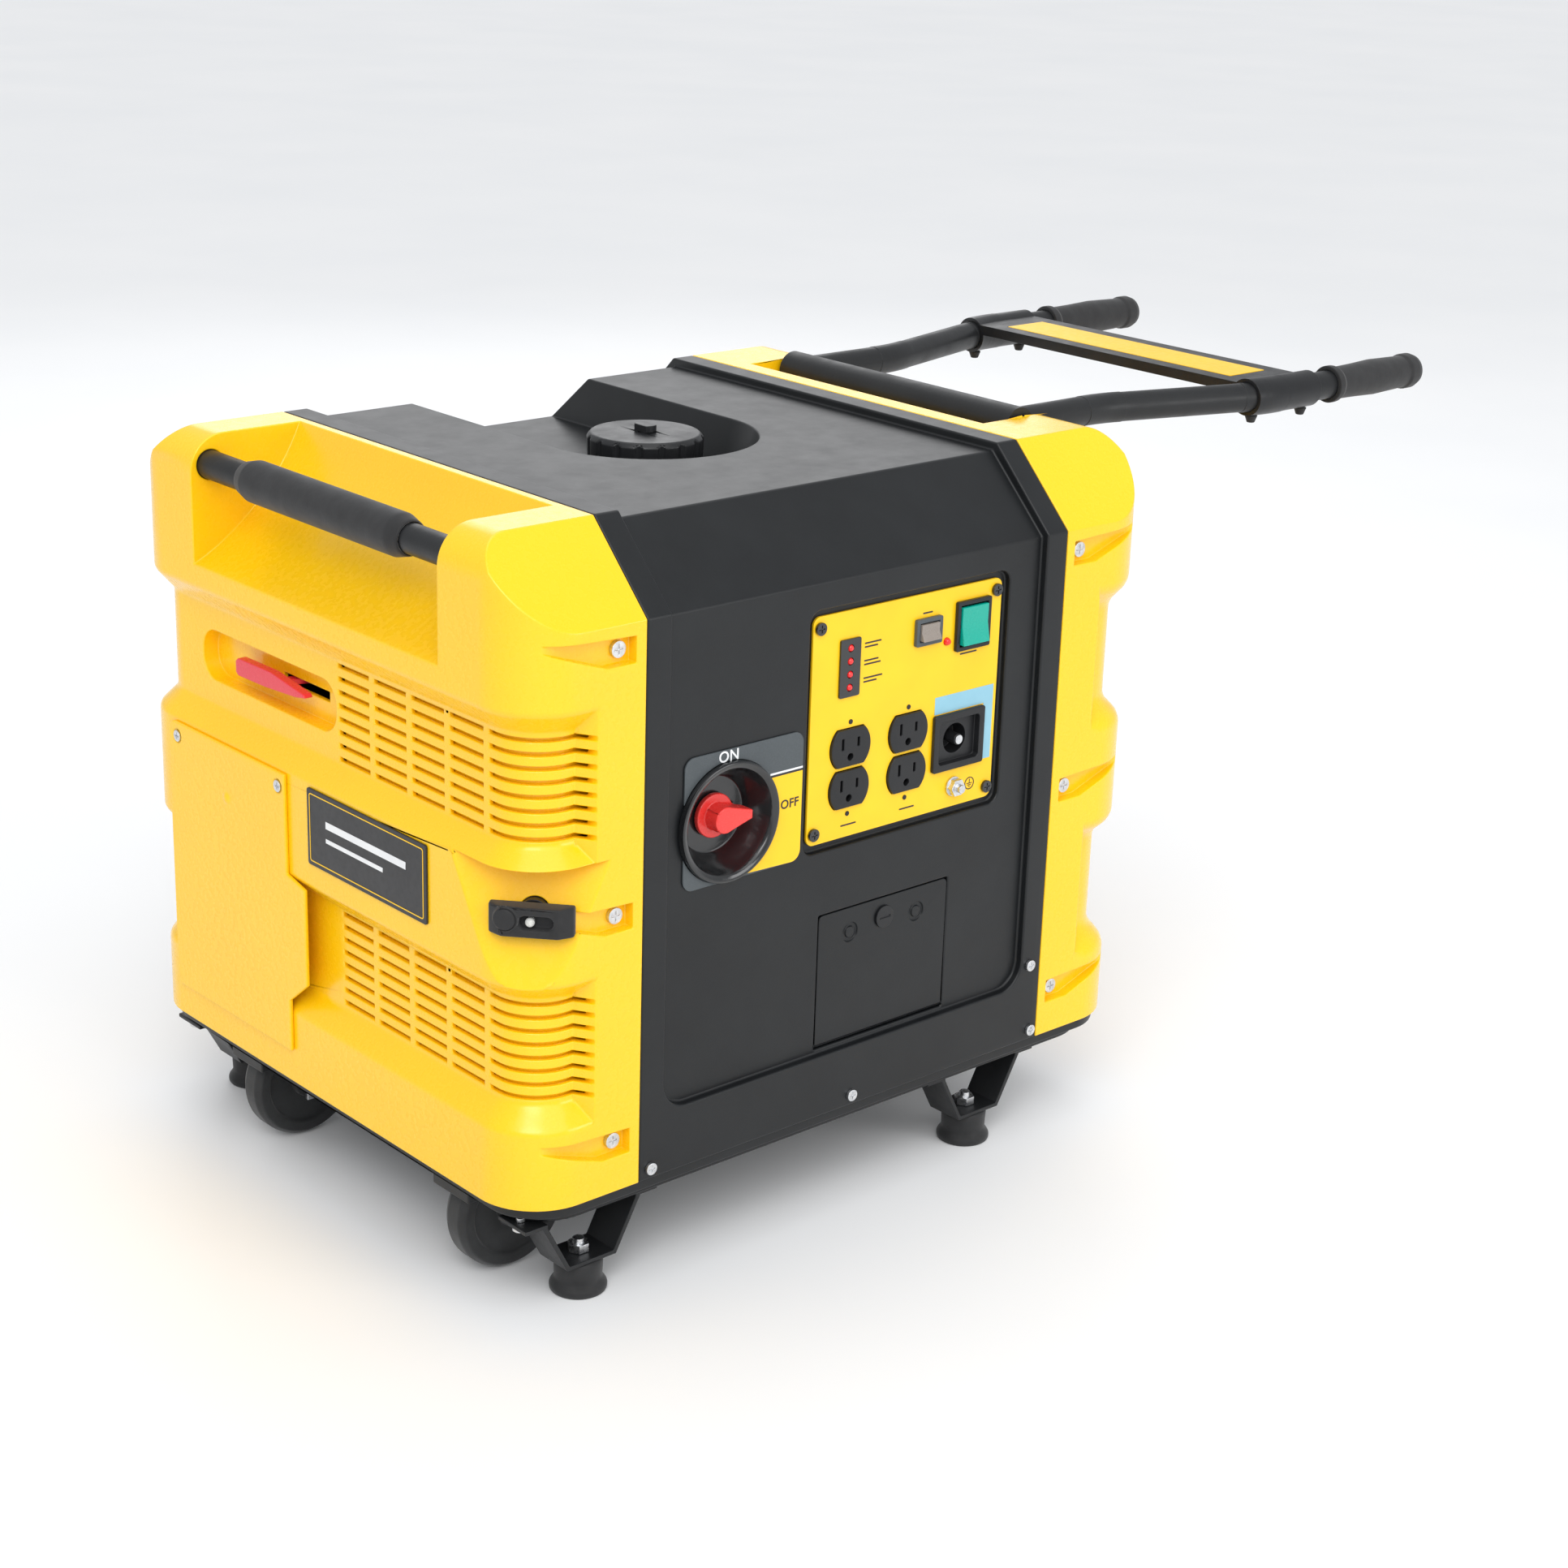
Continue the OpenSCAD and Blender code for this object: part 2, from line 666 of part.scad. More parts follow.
module cover_screws() part(steel) {
    for (side = [-1, 1]) at_end(side) for (s = [-1, 1], z = pocket_zs)
        translate([18, s * (hw - 8 + gap / 3), z]) rotate([s < 0 ? 90 : -90, 0, 0]) screw(5.5, 3, 2.5, 12);
}

// ---- control panel ----

panel_screw_pts = [for (sx = [-1, 1], sy = [-1, 1]) [sx * (panel_w / 2 - 5.5), sy * (panel_h / 2 - 8)]];
outlet_xs = [-50.5, 2.5];
outlet_z = -30;
module outlet_face(grow) {
    intersection() {
        circle(r = outlet_w / 2 + grow);
        square([outlet_w + 10, outlet_h + 2 * grow], center = true);
    }
}

module at_panel(depth) {
    on_front(panel_x, plate_y - gap / 3 - depth, panel_z) children();
}

module control_panel() part(yellow) at_panel(0) {
    linear_extrude(plate_t) difference() {
        round_rect(panel_w, panel_h, 6);
        for (p = panel_screw_pts) translate(p) circle(1.9);
        for (x = outlet_xs, d = [-1, 1]) translate([x, outlet_z + d * outlet_pitch / 2]) outlet_face(0.4);
        translate([50, -30]) square([45.6, 38.6], center = true);
        translate([58.5, 51]) square([28.6, 31.6], center = true);
        translate([16.5, 53]) square([20.6, 15.6], center = true);
        translate([-54, 40]) square([15, 37], center = true);
        translate([48.5, -64]) circle(3.3);
        translate([35.5, 42]) circle(2.7);
    }
}

module panel_screws() part(steel) at_panel(plate_t + gap / 3) {
    for (p = panel_screw_pts) translate(p) screw(4.4, 2.2, 1.6, 12);
}

module indicator_window() part(soft_black) at_panel(0) {
    difference() {
        union() {
            translate([-54, 40, plate_t + gap / 3]) linear_extrude(1.6) round_rect(18, 40, 1.5);
            translate([-54, 40, -8]) linear_extrude(8 + plate_t + 1) square([14.4, 36.4], center = true);
        }
        for (k = [-1.5 : 1 : 1.5]) translate([-54, 40 + k * 9, -1]) cylinder(r = 2.6, h = 8);
    }
}

module indicator_lamps() part(red) at_panel(0) {
    for (k = [-1.5 : 1 : 1.5]) translate([-54, 40 + k * 9, -0.9]) {
        cylinder(r = 2.4, h = plate_t + 1.8);
        translate([0, 0, plate_t + 1.8]) sphere(r = 2.2);
    }
    translate([35.5, 42, -6]) cylinder(r = 2.5, h = plate_t + 7);
    translate([35.5, 42, plate_t + 1]) sphere(r = 2.4);
}

// Grounded mains faces, two to an outlet
module ac_outlets() part(soft_black) at_panel(0) {
    for (x = outlet_xs) translate([x, outlet_z, 0]) difference() {
        union() {
            translate([0, 0, -22]) linear_extrude(22 - gap / 3)
                round_rect(40, outlet_pitch + outlet_h + 6, 3);
            for (d = [-1, 1]) translate([0, d * outlet_pitch / 2, -1])
                linear_extrude(plate_t + 3) outlet_face(0);
        }
        for (d = [-1, 1]) translate([0, d * outlet_pitch / 2 + 1, -12]) {
            translate([-7.5, 2, 0]) cube([2, 8, 40], center = true);
            translate([6.5, 2, 0]) cube([2, 6.4, 40], center = true);
            translate([-0.5, -7.5, -12]) cylinder(r = 2.5, h = 40);
        }
    }
}

module dc_outlet() part(soft_black) at_panel(0) {
    translate([50, -30, 0]) difference() {
        union() {
            translate([0, 0, -24]) linear_extrude(26.5) square([45, 38], center = true);
            translate([0, 0, plate_t + gap / 3]) linear_extrude(3) round_rect(48, 41, 2);
        }
        linear_extrude(20) round_rect(38, 31, 3);
        translate([0, 0, -12]) cylinder(r = 10.5, h = 30);
    }
    translate([50, -30, -14]) cylinder(r = 4, h = 18);
}

module ground_terminal() part(steel) at_panel(0) {
    translate([48.5, -64, -14]) cylinder(r = 3, h = 26);
    translate([48.5, -64, plate_t + gap / 3]) cylinder(r = 7, h = 1.6);
    translate([48.5, -64, plate_t + 1.6 + gap / 3]) cylinder(r = 6.5, h = 4.5, $fn = 6);
}

// Square frame with a pocket that a rocker swings in; the rocker turns on a round bar
module switch_frame(x, z, w, h, bar) {
    difference() {
        union() {
            translate([x, z, plate_t + gap / 3]) linear_extrude(3) round_rect(w + 2, h + 2, 1.5);
            translate([x, z, -18]) linear_extrude(18 + plate_t + 1) square([w - 1.6, h - 1.6], center = true);
        }
        translate([x, z, -12]) linear_extrude(30) square([w - 4, h - 4], center = true);
    }
    translate([x, z, bar]) rotate([0, 90, 0]) cylinder(r = 1.5, h = w - 2, center = true);
}

// Rocker: its face is two flats that meet at a shallow angle
module rocker(x, z, w, h, bar) {
    translate([x, z, bar]) rotate([0, 90, 0]) rotate([0, 0, 90]) difference() {
        linear_extrude(w, center = true) difference() {
            polygon([[-h / 2, 0], [-h / 2, 6.2], [0, 3.6], [h / 2, 3.8], [h / 2, 0], [4, -5], [-4, -5]]);
            circle(r = 1.5 + run);
        }
    }
}

bar_z = plate_t + 0.5;
module engine_switch_frame() part(soft_black) at_panel(0) switch_frame(58.5, 51, 30, 33, bar_z);

module engine_switch_rocker() part([0, 0.68, 0.58]) at_panel(0) rocker(58.5, 51, 24.6, 26.4, bar_z);

module eco_switch_frame() part(grey) at_panel(0) switch_frame(16.5, 53, 22, 17, bar_z);

module eco_switch_rocker() part([0.55, 0.55, 0.52]) at_panel(0) rocker(16.5, 53, 16.6, 11.4, bar_z);

// ---- fuel valve ----

module fuel_label_plate() part(grey) on_front(dial_x, face_y - gap / 3, dial_z) {
    linear_extrude(1.2) difference() {
        translate([13, 4]) round_rect(100, 90, 8);
        circle(r = dial_r + 2.4);
    }
}

module fuel_dial_cup() part(soft_black) on_front(dial_x, face_y, dial_z) {
    rotate_extrude() polygon([
        [9, -16], [dial_r - 13, -16], [dial_r - 6, -4], [dial_r - 3, 4], [dial_r + 1, 5.5], [dial_r + 2, 4],
        [dial_r + 2, gap / 3], [dial_r - gap, gap / 3], [dial_r - gap, -4], [dial_r - 10, -19], [9, -19]
    ]);
}

module fuel_dial_knob() part(red) on_front(dial_x, face_y, dial_z) {
    translate([0, 0, -15.5]) cylinder(r = 15, h = 4);
    translate([0, 0, -12]) linear_extrude(12) {
        circle(r = 9);
        polygon([[-7, -6], [4, -8], [22, -3], [22, 3], [4, 8], [-7, 6]]);
    }
    translate([0, 0, -30]) cylinder(r = 5, h = 15);
}

module fuel_valve() part(alu) on_front(dial_x, face_y, dial_z) {
    difference() {
        union() {
            translate([0, 0, -52]) linear_extrude(33 - gap) round_rect(40, 34, 5);
            translate([0, 30, -40]) rotate([90, 0, 0]) cylinder(r = 5, h = 60);
        }
        translate([0, 0, -31]) cylinder(r = 5 + run, h = 20);
    }
}

// ---- access door ----

// The door turns on a rod along its lower edge, which is rounded about the rod
door_t = 3.6;
door_pin_r = 0.9;
hinge_y = face_y + 2;
hinge_z = door_z - door_h / 2 + 2.2;
latch_z = door_z + door_h / 2 - 14;
latch_r = 6;
module door_pin(r, len) {
    translate([door_x, hinge_y, hinge_z]) rotate([0, 90, 0]) cylinder(r = r, h = len, center = true);
}

module access_door() part(black) {
    difference() {
        union() {
            translate([door_x - door_w / 2, hinge_y - door_t / 2, hinge_z])
                cube([door_w, door_t, door_h - 10]);
            on_front(door_x, hinge_y + door_t / 2, door_z + 8) linear_extrude(door_t)
                round_rect(door_w, door_h - 16, 4);
            door_pin(door_t / 2 - eps, door_w);
        }
        door_pin(door_pin_r + run, door_w + 2);
        on_front(door_x, face_y + 10, latch_z) cylinder(r = latch_r + run, h = 20);
        for (s = [-1, 1]) on_front(door_x + s * 31, face_y + 1.6, latch_z - 4) cylinder(r = 7, h = 20);
    }
    for (s = [-1, 1]) on_front(door_x + s * 31, face_y + 1.8, latch_z - 4) cylinder(r = 4, h = 1.6);
}

module access_door_hinge() part(steel) door_pin(door_pin_r, door_w + 12);

module access_door_latch() part(soft_black) on_front(door_x, face_y + 0.1, latch_z) {
    difference() {
        cylinder(r = 8, h = 1.6);
        translate([-5, -0.8, 0.8]) cube([10, 1.6, 2]);
    }
    translate([0, 0, -9]) cylinder(r = latch_r, h = 9 + eps);
    translate([-4, 0, -12]) cube([8, 8, 3 + eps]);
}

// ---- carry handle ----

module carry_handle_tube() part(soft_black) translate([carry_x, 0, carry_z]) rotate([90, 0, 0]) difference() {
    cylinder(r = carry_r, h = scoop_w + 26, center = true);
    cylinder(r = carry_r - 2, h = scoop_w + 40, center = true);
}

// The grip's two ends taper down to a thin lip round the tube
grip_lip_r = carry_r + 1.5;
module carry_handle_grip() part(soft_black) translate([carry_x, 0, carry_z]) rotate([90, 0, 0]) {
    half = carry_grip_len / 2;
    rotate_extrude() polygon([
        [carry_r + gap / 3, -half], [grip_lip_r, -half], [max(carry_grip_r, grip_lip_r), 12 - half],
        [max(carry_grip_r, grip_lip_r), half - 12], [grip_lip_r, half], [carry_r + gap / 3, half]
    ]);
}

// ---- trolley handle ----

// Steel cheeks inside the cover's lugs, with the pins that the handle turns on
module handle_brackets() part(soft_black) {
    for (s = [-1, 1]) translate([pivot_x, s * (bay_narrow + cover_wall + 2), 0]) {
        translate([0, 0, pivot_z]) rotate([s * 90, 0, 0]) translate([0, 0, -2.5])
            cylinder(r = pivot_r, h = cover_wall + 24);
        translate([-46, -2 + (s > 0 ? 2 : -2), bay_step_z + 20]) cube([58, 4, 57]);
    }
}

bend = 16;
bend_r = 120;
bend_out = (arm_gap_out - arm_gap_in) / 2;
bend_len = (bend_out - 2 * bend_r * (1 - cos(bend))) / sin(bend);
arm_straight = 78;
arm_start = pivot_bar_r - 2;
// A bend swells a little, as a drawn tube's does, and laps the straight lengths at both ends
module elbow(r) {
    lap = 1;
    rotate([0, 0, -lap]) rotate_extrude(angle = bend + 2 * lap) translate([bend_r, 0]) circle(r + gap);
}

// One arm from the pivot outwards along +x, bending towards +y and back
module arm(r) {
    translate([arm_start, 0, 0]) rotate([0, 90, 0]) cylinder(r = r, h = arm_straight - arm_start);
    translate([arm_straight, 0, 0]) {
        translate([0, bend_r, 0]) rotate([0, 0, -90]) elbow(r);
        translate([bend_r * sin(bend), bend_r * (1 - cos(bend)), 0]) rotate([0, 0, bend]) {
            rotate([0, 90, 0]) cylinder(r = r, h = bend_len);
            translate([bend_len, 0, 0]) arm_end(r);
        }
    }
}

module arm_end(r) {
    x = bend_r * sin(bend);
    y = bend_r * (1 - cos(bend));
    used = arm_straight + 2 * x + bend_len * cos(bend);
    translate([0, -bend_r, 0]) rotate([0, 0, 90 - bend]) elbow(r);
    rotate([0, 0, -bend]) translate([x, y, 0]) rotate([0, 90, 0])
        cylinder(r = r, h = handle_reach - 10 - used);
}

module handle_frame() part(soft_black) translate([pivot_x, 0, pivot_z]) {
    difference() {
        union() {
            rotate([90, 0, 0]) cylinder(r = pivot_bar_r, h = arm_gap_in + 2 * arm_r, center = true);
            both_arms(arm_r);
        }
        translate([3, 0, 0]) both_arms(arm_r - arm_wall);
        for (s = [-1, 1]) translate([0, s * (arm_gap_in / 2 + arm_r + 1), 0]) rotate([90, 0, 0])
            cylinder(r = pivot_r + run, h = 62, center = true);
        rotate([90, 0, 0]) cylinder(r = pivot_bar_r - arm_wall, h = arm_gap_in - 32, center = true);
    }
}

plate_x0 = 222;
plate_len = 70;
module both_arms(r) {
    for (s = [0, 1]) mirror([0, s, 0]) translate([0, arm_gap_in / 2, 0]) arm(r);
}

module handle_cross_plate() part(black) translate([pivot_x, 0, pivot_z]) {
    half = arm_gap_out / 2;
    difference() {
        union() {
            translate([plate_x0, -half, 2]) cube([plate_len, 2 * half, 8]);
            intersection() {
                both_arms(arm_r + 3);
                translate([plate_x0, -half - 30, -30]) cube([plate_len, 2 * half + 60, 60]);
            }
        }
        both_arms(arm_r + gap / 3);
        translate([plate_x0 + 14, -half + 32, 9]) cube([plate_len - 28, 2 * half - 64, 4]);
    }
}

module handle_label() part(yellow) translate([pivot_x + plate_x0, 0, pivot_z]) {
    half = arm_gap_out / 2;
    translate([14.5, -half + 32.5, 9 + gap / 3]) cube([plate_len - 29, 2 * half - 65, 1.2]);
}

module handle_grips() part(soft_black) translate([pivot_x, 0, pivot_z]) {
    len = 108;
    for (s = [-1, 1]) translate([handle_reach - len, s * arm_gap_out / 2, 0]) rotate([0, 90, 0])
        rotate_extrude() polygon([
            [arm_r + gap / 3, 0], [arm_r + 3.5, 0], [arm_r + 3.5, 6], [arm_r + 1.6, 9], [arm_r + 2, 30],
            [arm_r + 3, 55], [arm_r + 2, 84], [arm_r + 1.6, 92], [arm_r + 3, 94], [arm_r + 3, 102],
            [arm_r + 1, len], [0, len], [0, len - 9], [arm_r + gap / 3, len - 9]
        ]);
}

// Rubber stops under the cross plate's sleeves, on the arms' own lines
peg_h = 5.5;
module handle_pegs() part(soft_black) translate([pivot_x, 0, pivot_z - arm_r - 3 - gap - 0.1 - peg_h]) {
    for (s = [-1, 1]) {
        translate([plate_x0 + 7, s * (arm_gap_out / 2 - 2.6), 0]) cylinder(r1 = 3, r2 = 5, h = peg_h);
        translate([plate_x0 + plate_len - 7, s * arm_gap_out / 2, 0]) cylinder(r1 = 3, r2 = 5, h = peg_h);
    }
}

// ---- fuel tank, cap ----

neck_z = top_z - valley_depth;
module fuel_tank() part(soft_black) {
    difference() {
        translate([0, 10, neck_z - shell_wall - 92]) linear_extrude(88) round_rect(300, 330, 30);
        translate([0, 4, neck_z - 60]) cylinder(r = 22, h = 80);
    }
}

module filler_neck() part(steel) translate([0, 4, neck_z - shell_wall - 4 + gap / 3]) {
    ring(26, 22, cap_h);
    ring(32, 22, 3);
}

module fuel_cap() part(soft_black) translate([0, 4, top_z - cap_h]) {
    difference() {
        union() {
            cylinder(r1 = cap_r - 1, r2 = cap_r, h = cap_h - 3);
            translate([0, 0, cap_h - 3]) cylinder(r1 = cap_r, r2 = cap_r - 3, h = 3);
        }
        translate([0, 0, -1]) cylinder(r = 33, h = cap_h - 4);
        for (i = [0 : 15]) rotate([0, 0, i * 22.5]) translate([cap_r + 1.5, 0, -1])
            cylinder(r = 3, h = cap_h + 2, $fn = 16);
        translate([0, 0, cap_h - 3]) cylinder(r = 5 + run, h = 10);
    }
}

module cap_vent_knob() part(soft_black) translate([0, 4, top_z - 3]) {
    translate([0, 0, gap / 3]) cylinder(r = 5, h = 3.2);
    translate([0, 0, 3.2]) difference() {
        cylinder(r = 8, h = 5);
        for (s = [-1, 1]) translate([s * 9, 0, 3]) cube([8, 20, 8], center = true);
    }
}

// ---- choke ----

choke_arm = 62;
choke_rest = -20;
choke_x = -end_x + band_inset + 12 + 48;
choke_pin_r = 3;
module choke_bracket() part(steel) translate([choke_x, choke_y, choke_z]) {
    roof = neck_z - shell_wall - 92 - choke_z - gap / 3;
    translate([0, 0, -14]) cylinder(r = choke_pin_r, h = 28);
    translate([-10, -10, -18]) cube([60, 20, 4]);
    translate([40, -20, -18]) cube([10, 40, roof + 18]);
    translate([40, -20, roof - 3]) cube([60, 40, 3]);
}

module choke_lever() part(red) translate([choke_x, choke_y, choke_z]) rotate([0, 0, choke_rest]) {
    difference() {
        union() {
            translate([0, 0, -2]) cylinder(r = 7, h = 4);
            translate([-choke_arm, -4, -2]) cube([choke_arm, 8, 4]);
        }
        cylinder(r = choke_pin_r + run, h = 20, center = true);
    }
    translate([-choke_arm, 0, 0]) rotate([0, 0, -choke_rest]) choke_paddle();
}

// Paddle outside the cover: a blunt end to push on, tapering to a thin tail over the slot
module choke_paddle() {
    rotate([90, 0, -90]) linear_extrude(7, center = true)
        polygon([
            [-46, 4], [-43, 6.5], [-2, 7], [38, 1.5], [40, -1], [28, -3], [-10, -5.5], [-43, -6], [-46, -4]
        ]);
}

// ---- recoil starter ----

rope_r = 2.2;
// Where the grip's neck meets the guide, in from the sharp corner
grip_x = -35.5;
rope_len = 181;
module rope_guide() part(soft_black) at_recoil() translate([0, 0, recoil_z]) rotate([0, 90, 0]) {
    difference() {
        translate([0, 0, -54]) cylinder(r = 10, h = 54 + grip_x - 0.5);
        translate([0, 0, -60]) cylinder(r = rope_r + 0.4, h = 60);
    }
}

// Grip bar in plan, out from its neck: flat at the back, bevelled towards its two ends
grip_back = 2.5;
grip_front = 15;
grip_half = 27;
grip_plan = [
    [grip_back, -grip_half], [grip_back, grip_half], [grip_back + 6, grip_half],
    [grip_front, grip_half - 9], [grip_front, 9 - grip_half], [grip_back + 6, -grip_half]
];
module recoil_grip() part(soft_black) at_recoil() translate([grip_x, 0, recoil_z]) difference() {
    union() {
        rotate([0, 90, 0]) cylinder(r = 8, h = grip_back + 2);
        linear_extrude(20, center = true) polygon(grip_plan);
        rotate([0, 90, 0]) translate([-2, 15.5, grip_back + 2])
            cylinder(r = 7.5, h = grip_front - grip_back - 0.5);
    }
    rotate([0, 90, 0]) translate([0, -4, grip_front - 6]) linear_extrude(10) round_rect(9, 22, 4.2);
    rotate([0, 90, 0]) translate([0, 0, -1]) cylinder(r = rope_r + run, h = 40);
}

module recoil_rope() part([0.85, 0.85, 0.82]) at_recoil()
translate([grip_x, 0, recoil_z]) rotate([0, 90, 0]) {
    translate([0, 0, grip_front - 2.8 - rope_len]) cylinder(r = rope_r, h = rope_len);
    translate([0, 0, grip_front - 2.8]) sphere(r = 3);
}

pulley_x = -hl - 14;
module recoil_pulley() part(soft_black)
translate([pulley_x, crank_y, crank_z]) rotate([0, 90, 0]) difference() {
    rotate_extrude() polygon([
        [6, -7], [pulley_r + 4, -7], [pulley_r, -3], [pulley_r, 3], [pulley_r + 4, 7], [6, 7]
    ]);
    cylinder(r = 6 + run, h = 20, center = true);
}

module recoil_housing() part(soft_black) translate([pulley_x - 12, crank_y, crank_z]) rotate([0, 90, 0]) {
    difference() {
        union() {
            cylinder(r = pulley_r + 16, h = 3);
            ring(pulley_r + 16, pulley_r + 12, 22);
        }
        for (i = [0 : 7]) rotate([0, 0, i * 45 + 22.5]) translate([30, 0, -1]) cylinder(r = 7, h = 6);
    }
    cylinder(r = 6, h = 20);
    for (a = [45, 135, 225, 315]) rotate([0, 0, a]) translate([pulley_r + 14, 0, 0]) cylinder(r = 6, h = 30);
}

// ---- engine, alternator, electrics ----

block_x0 = -70;
block_x1 = 84;
module engine_block() part(alu) {
    difference() {
        union() {
            translate([(block_x0 + block_x1) / 2, crank_y, 0]) translate([0, 0, 92]) {
                cube([block_x1 - block_x0, 150, 150], center = true);
            }
            // inclined cylinder with its fins, and the head cover
            translate([20, crank_y + 30, crank_z + 30]) rotate([-25, 0, 0]) {
                cylinder(r = 42, h = 88);
                for (i = [0 : 7]) translate([-52, -52, 20 + i * 8]) cube([104, 104, 3.5]);
                translate([-45, -45, 84]) cube([90, 90, 22]);
            }
        }
        translate([block_x0 - 1, crank_y, crank_z]) rotate([0, 90, 0])
            cylinder(r = crank_r + run, h = block_x1 - block_x0 + 2);
    }
    for (sx = [-1, 1], sy = [-1, 1]) translate([7 + sx * 58, sy * 55, tray_z + 3 + gap / 3])
        cylinder(r = 16, h = 34 - gap);
}

module rotor_flywheel() part(steel) translate([0, crank_y, crank_z]) rotate([0, 90, 0]) {
    translate([0, 0, pulley_x + 12]) cylinder(r = crank_r, h = block_x1 + 20 - pulley_x - 12);
    translate([0, 0, -140]) difference() {
        cylinder(r = rotor_r, h = 44);
        translate([0, 0, 8]) cylinder(r = rotor_r - 12, h = 50);
        for (i = [0 : 5]) rotate([0, 0, i * 60]) translate([42, 0, -1]) cylinder(r = 13, h = 20);
    }
    for (i = [0 : 11]) rotate([0, 0, i * 30]) translate([38, -1.5, -158]) cube([rotor_r - 40, 3, 20]);
}

module alternator_stator() part([0.72, 0.45, 0.2]) translate([0, crank_y, crank_z]) rotate([0, 90, 0]) {
    difference() {
        translate([0, 0, -128]) cylinder(r = rotor_r - 26, h = 58 - gap / 3);
        translate([0, 0, -140]) cylinder(r = crank_r + 4, h = 100);
    }
    for (i = [0 : 11]) rotate([0, 0, i * 30]) translate([rotor_r - 30, -7, -124]) cube([15, 14, 24]);
}

module muffler() part(steel) {
    translate([142, 0, 190]) rotate([90, 0, 0]) linear_extrude(170, center = true) round_rect(74, 96, 24);
    translate([176, 30, 190]) rotate([0, 90, 0]) ring(15, 12.5, hl + bay_u + 4 - 176);
    translate([142, 0, tray_z + 3 + gap / 3]) translate([-20, -60, 0]) cube([6, 120, 190 - 48 - tray_z - 3]);
}

module inverter_unit() part(alu) translate([-hl + 20, face_y + 12, tray_z + 3 + gap / 3]) {
    cube([118, 60, 118]);
    for (i = [0 : 9]) translate([4 + i * 12, 60 - eps, 6]) cube([3, 14, 106]);
}

module battery() part(soft_black) translate([-end_x + 19, 66, well_top + 3 + gap / 3]) {
    cube([68, 104, 96]);
    for (y = [22, 82]) translate([34, y, 96 - eps]) cylinder(r = 6, h = 8);
}

base_tray();
center_shell();
rear_panel();
left_end_cover();
right_end_cover();
exhaust_grille();
service_cover();
service_cover_screws();
name_plate();
cover_screws();
shell_screws();
control_panel();
panel_screws();
indicator_window();
indicator_lamps();
ac_outlets();
dc_outlet();
ground_terminal();
engine_switch_frame();
engine_switch_rocker();
eco_switch_frame();
eco_switch_rocker();
fuel_label_plate();
fuel_dial_cup();
fuel_dial_knob();
fuel_valve();
access_door();
access_door_hinge();
access_door_latch();
carry_handle_tube();
carry_handle_grip();
handle_brackets();
handle_frame();
handle_cross_plate();
handle_label();
handle_grips();
handle_pegs();
fuel_tank();
filler_neck();
fuel_cap();
cap_vent_knob();
choke_bracket();
choke_lever();
rope_guide();
recoil_grip();
recoil_rope();
recoil_pulley();
recoil_housing();
wheel_near();
wheel_far();
wheel_axle();
foot_brackets();
rubber_feet();
foot_bolts();
engine_block();
rotor_flywheel();
alternator_stator();
muffler();
inverter_unit();
battery();
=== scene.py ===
import json
import math

import bmesh
import bpy
from mathutils import Matrix, Vector


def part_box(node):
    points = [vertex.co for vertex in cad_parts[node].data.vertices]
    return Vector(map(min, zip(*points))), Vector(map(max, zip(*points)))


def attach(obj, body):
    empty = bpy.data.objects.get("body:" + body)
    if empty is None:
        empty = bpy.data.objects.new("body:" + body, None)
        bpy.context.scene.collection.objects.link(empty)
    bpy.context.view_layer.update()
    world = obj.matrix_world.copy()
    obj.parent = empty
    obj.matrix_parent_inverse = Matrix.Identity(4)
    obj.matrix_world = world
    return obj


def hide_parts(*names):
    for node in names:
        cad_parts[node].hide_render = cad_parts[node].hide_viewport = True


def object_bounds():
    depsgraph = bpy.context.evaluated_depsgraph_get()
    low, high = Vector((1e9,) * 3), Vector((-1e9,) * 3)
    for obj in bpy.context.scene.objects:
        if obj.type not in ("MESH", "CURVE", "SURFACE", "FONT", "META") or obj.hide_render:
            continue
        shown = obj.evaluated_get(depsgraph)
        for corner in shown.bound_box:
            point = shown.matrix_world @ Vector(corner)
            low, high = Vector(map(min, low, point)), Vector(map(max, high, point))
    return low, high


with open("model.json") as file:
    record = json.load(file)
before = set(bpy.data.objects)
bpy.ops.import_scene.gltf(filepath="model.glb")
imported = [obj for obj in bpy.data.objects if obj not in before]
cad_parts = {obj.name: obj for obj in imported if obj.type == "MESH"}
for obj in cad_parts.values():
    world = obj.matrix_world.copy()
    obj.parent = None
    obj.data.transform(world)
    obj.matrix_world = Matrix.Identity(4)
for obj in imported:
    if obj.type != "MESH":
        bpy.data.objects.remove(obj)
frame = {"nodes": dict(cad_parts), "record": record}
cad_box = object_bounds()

MM = 0.001
NODES = frame["nodes"]
BODIES = frame["record"]["behaviour"]["bodies"]
BODY_OF = {node: body for body, members in BODIES.items() for node in members}

# The middle of the centre shell from end to end, and the height of the seam that it stands on
SHELL_LOW, SHELL_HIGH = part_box("center_shell")
SHELL_X = (SHELL_LOW[0] + SHELL_HIGH[0]) / 2
SEAM_Z = SHELL_LOW[2]

# Points of a mesh that are closer than this are one point, in metres
SAME_POINT = 0.000002
SAME_FILM_POINT = 0.000004

# ---------------------------------------------------------------- working with objects

def deselect():
    if bpy.context.mode != "OBJECT":
        bpy.ops.object.mode_set(mode="OBJECT")
    bpy.ops.object.select_all(action="DESELECT")


def pick(piece):
    deselect()
    piece.select_set(True)
    bpy.context.view_layer.objects.active = piece


def edit(piece):
    pick(piece)
    bpy.ops.object.mode_set(mode="EDIT")
    bpy.ops.mesh.select_all(action="SELECT")


def done():
    bpy.ops.object.mode_set(mode="OBJECT")


def named(name):
    piece = bpy.context.active_object
    piece.name = name
    piece.data.name = name
    return piece


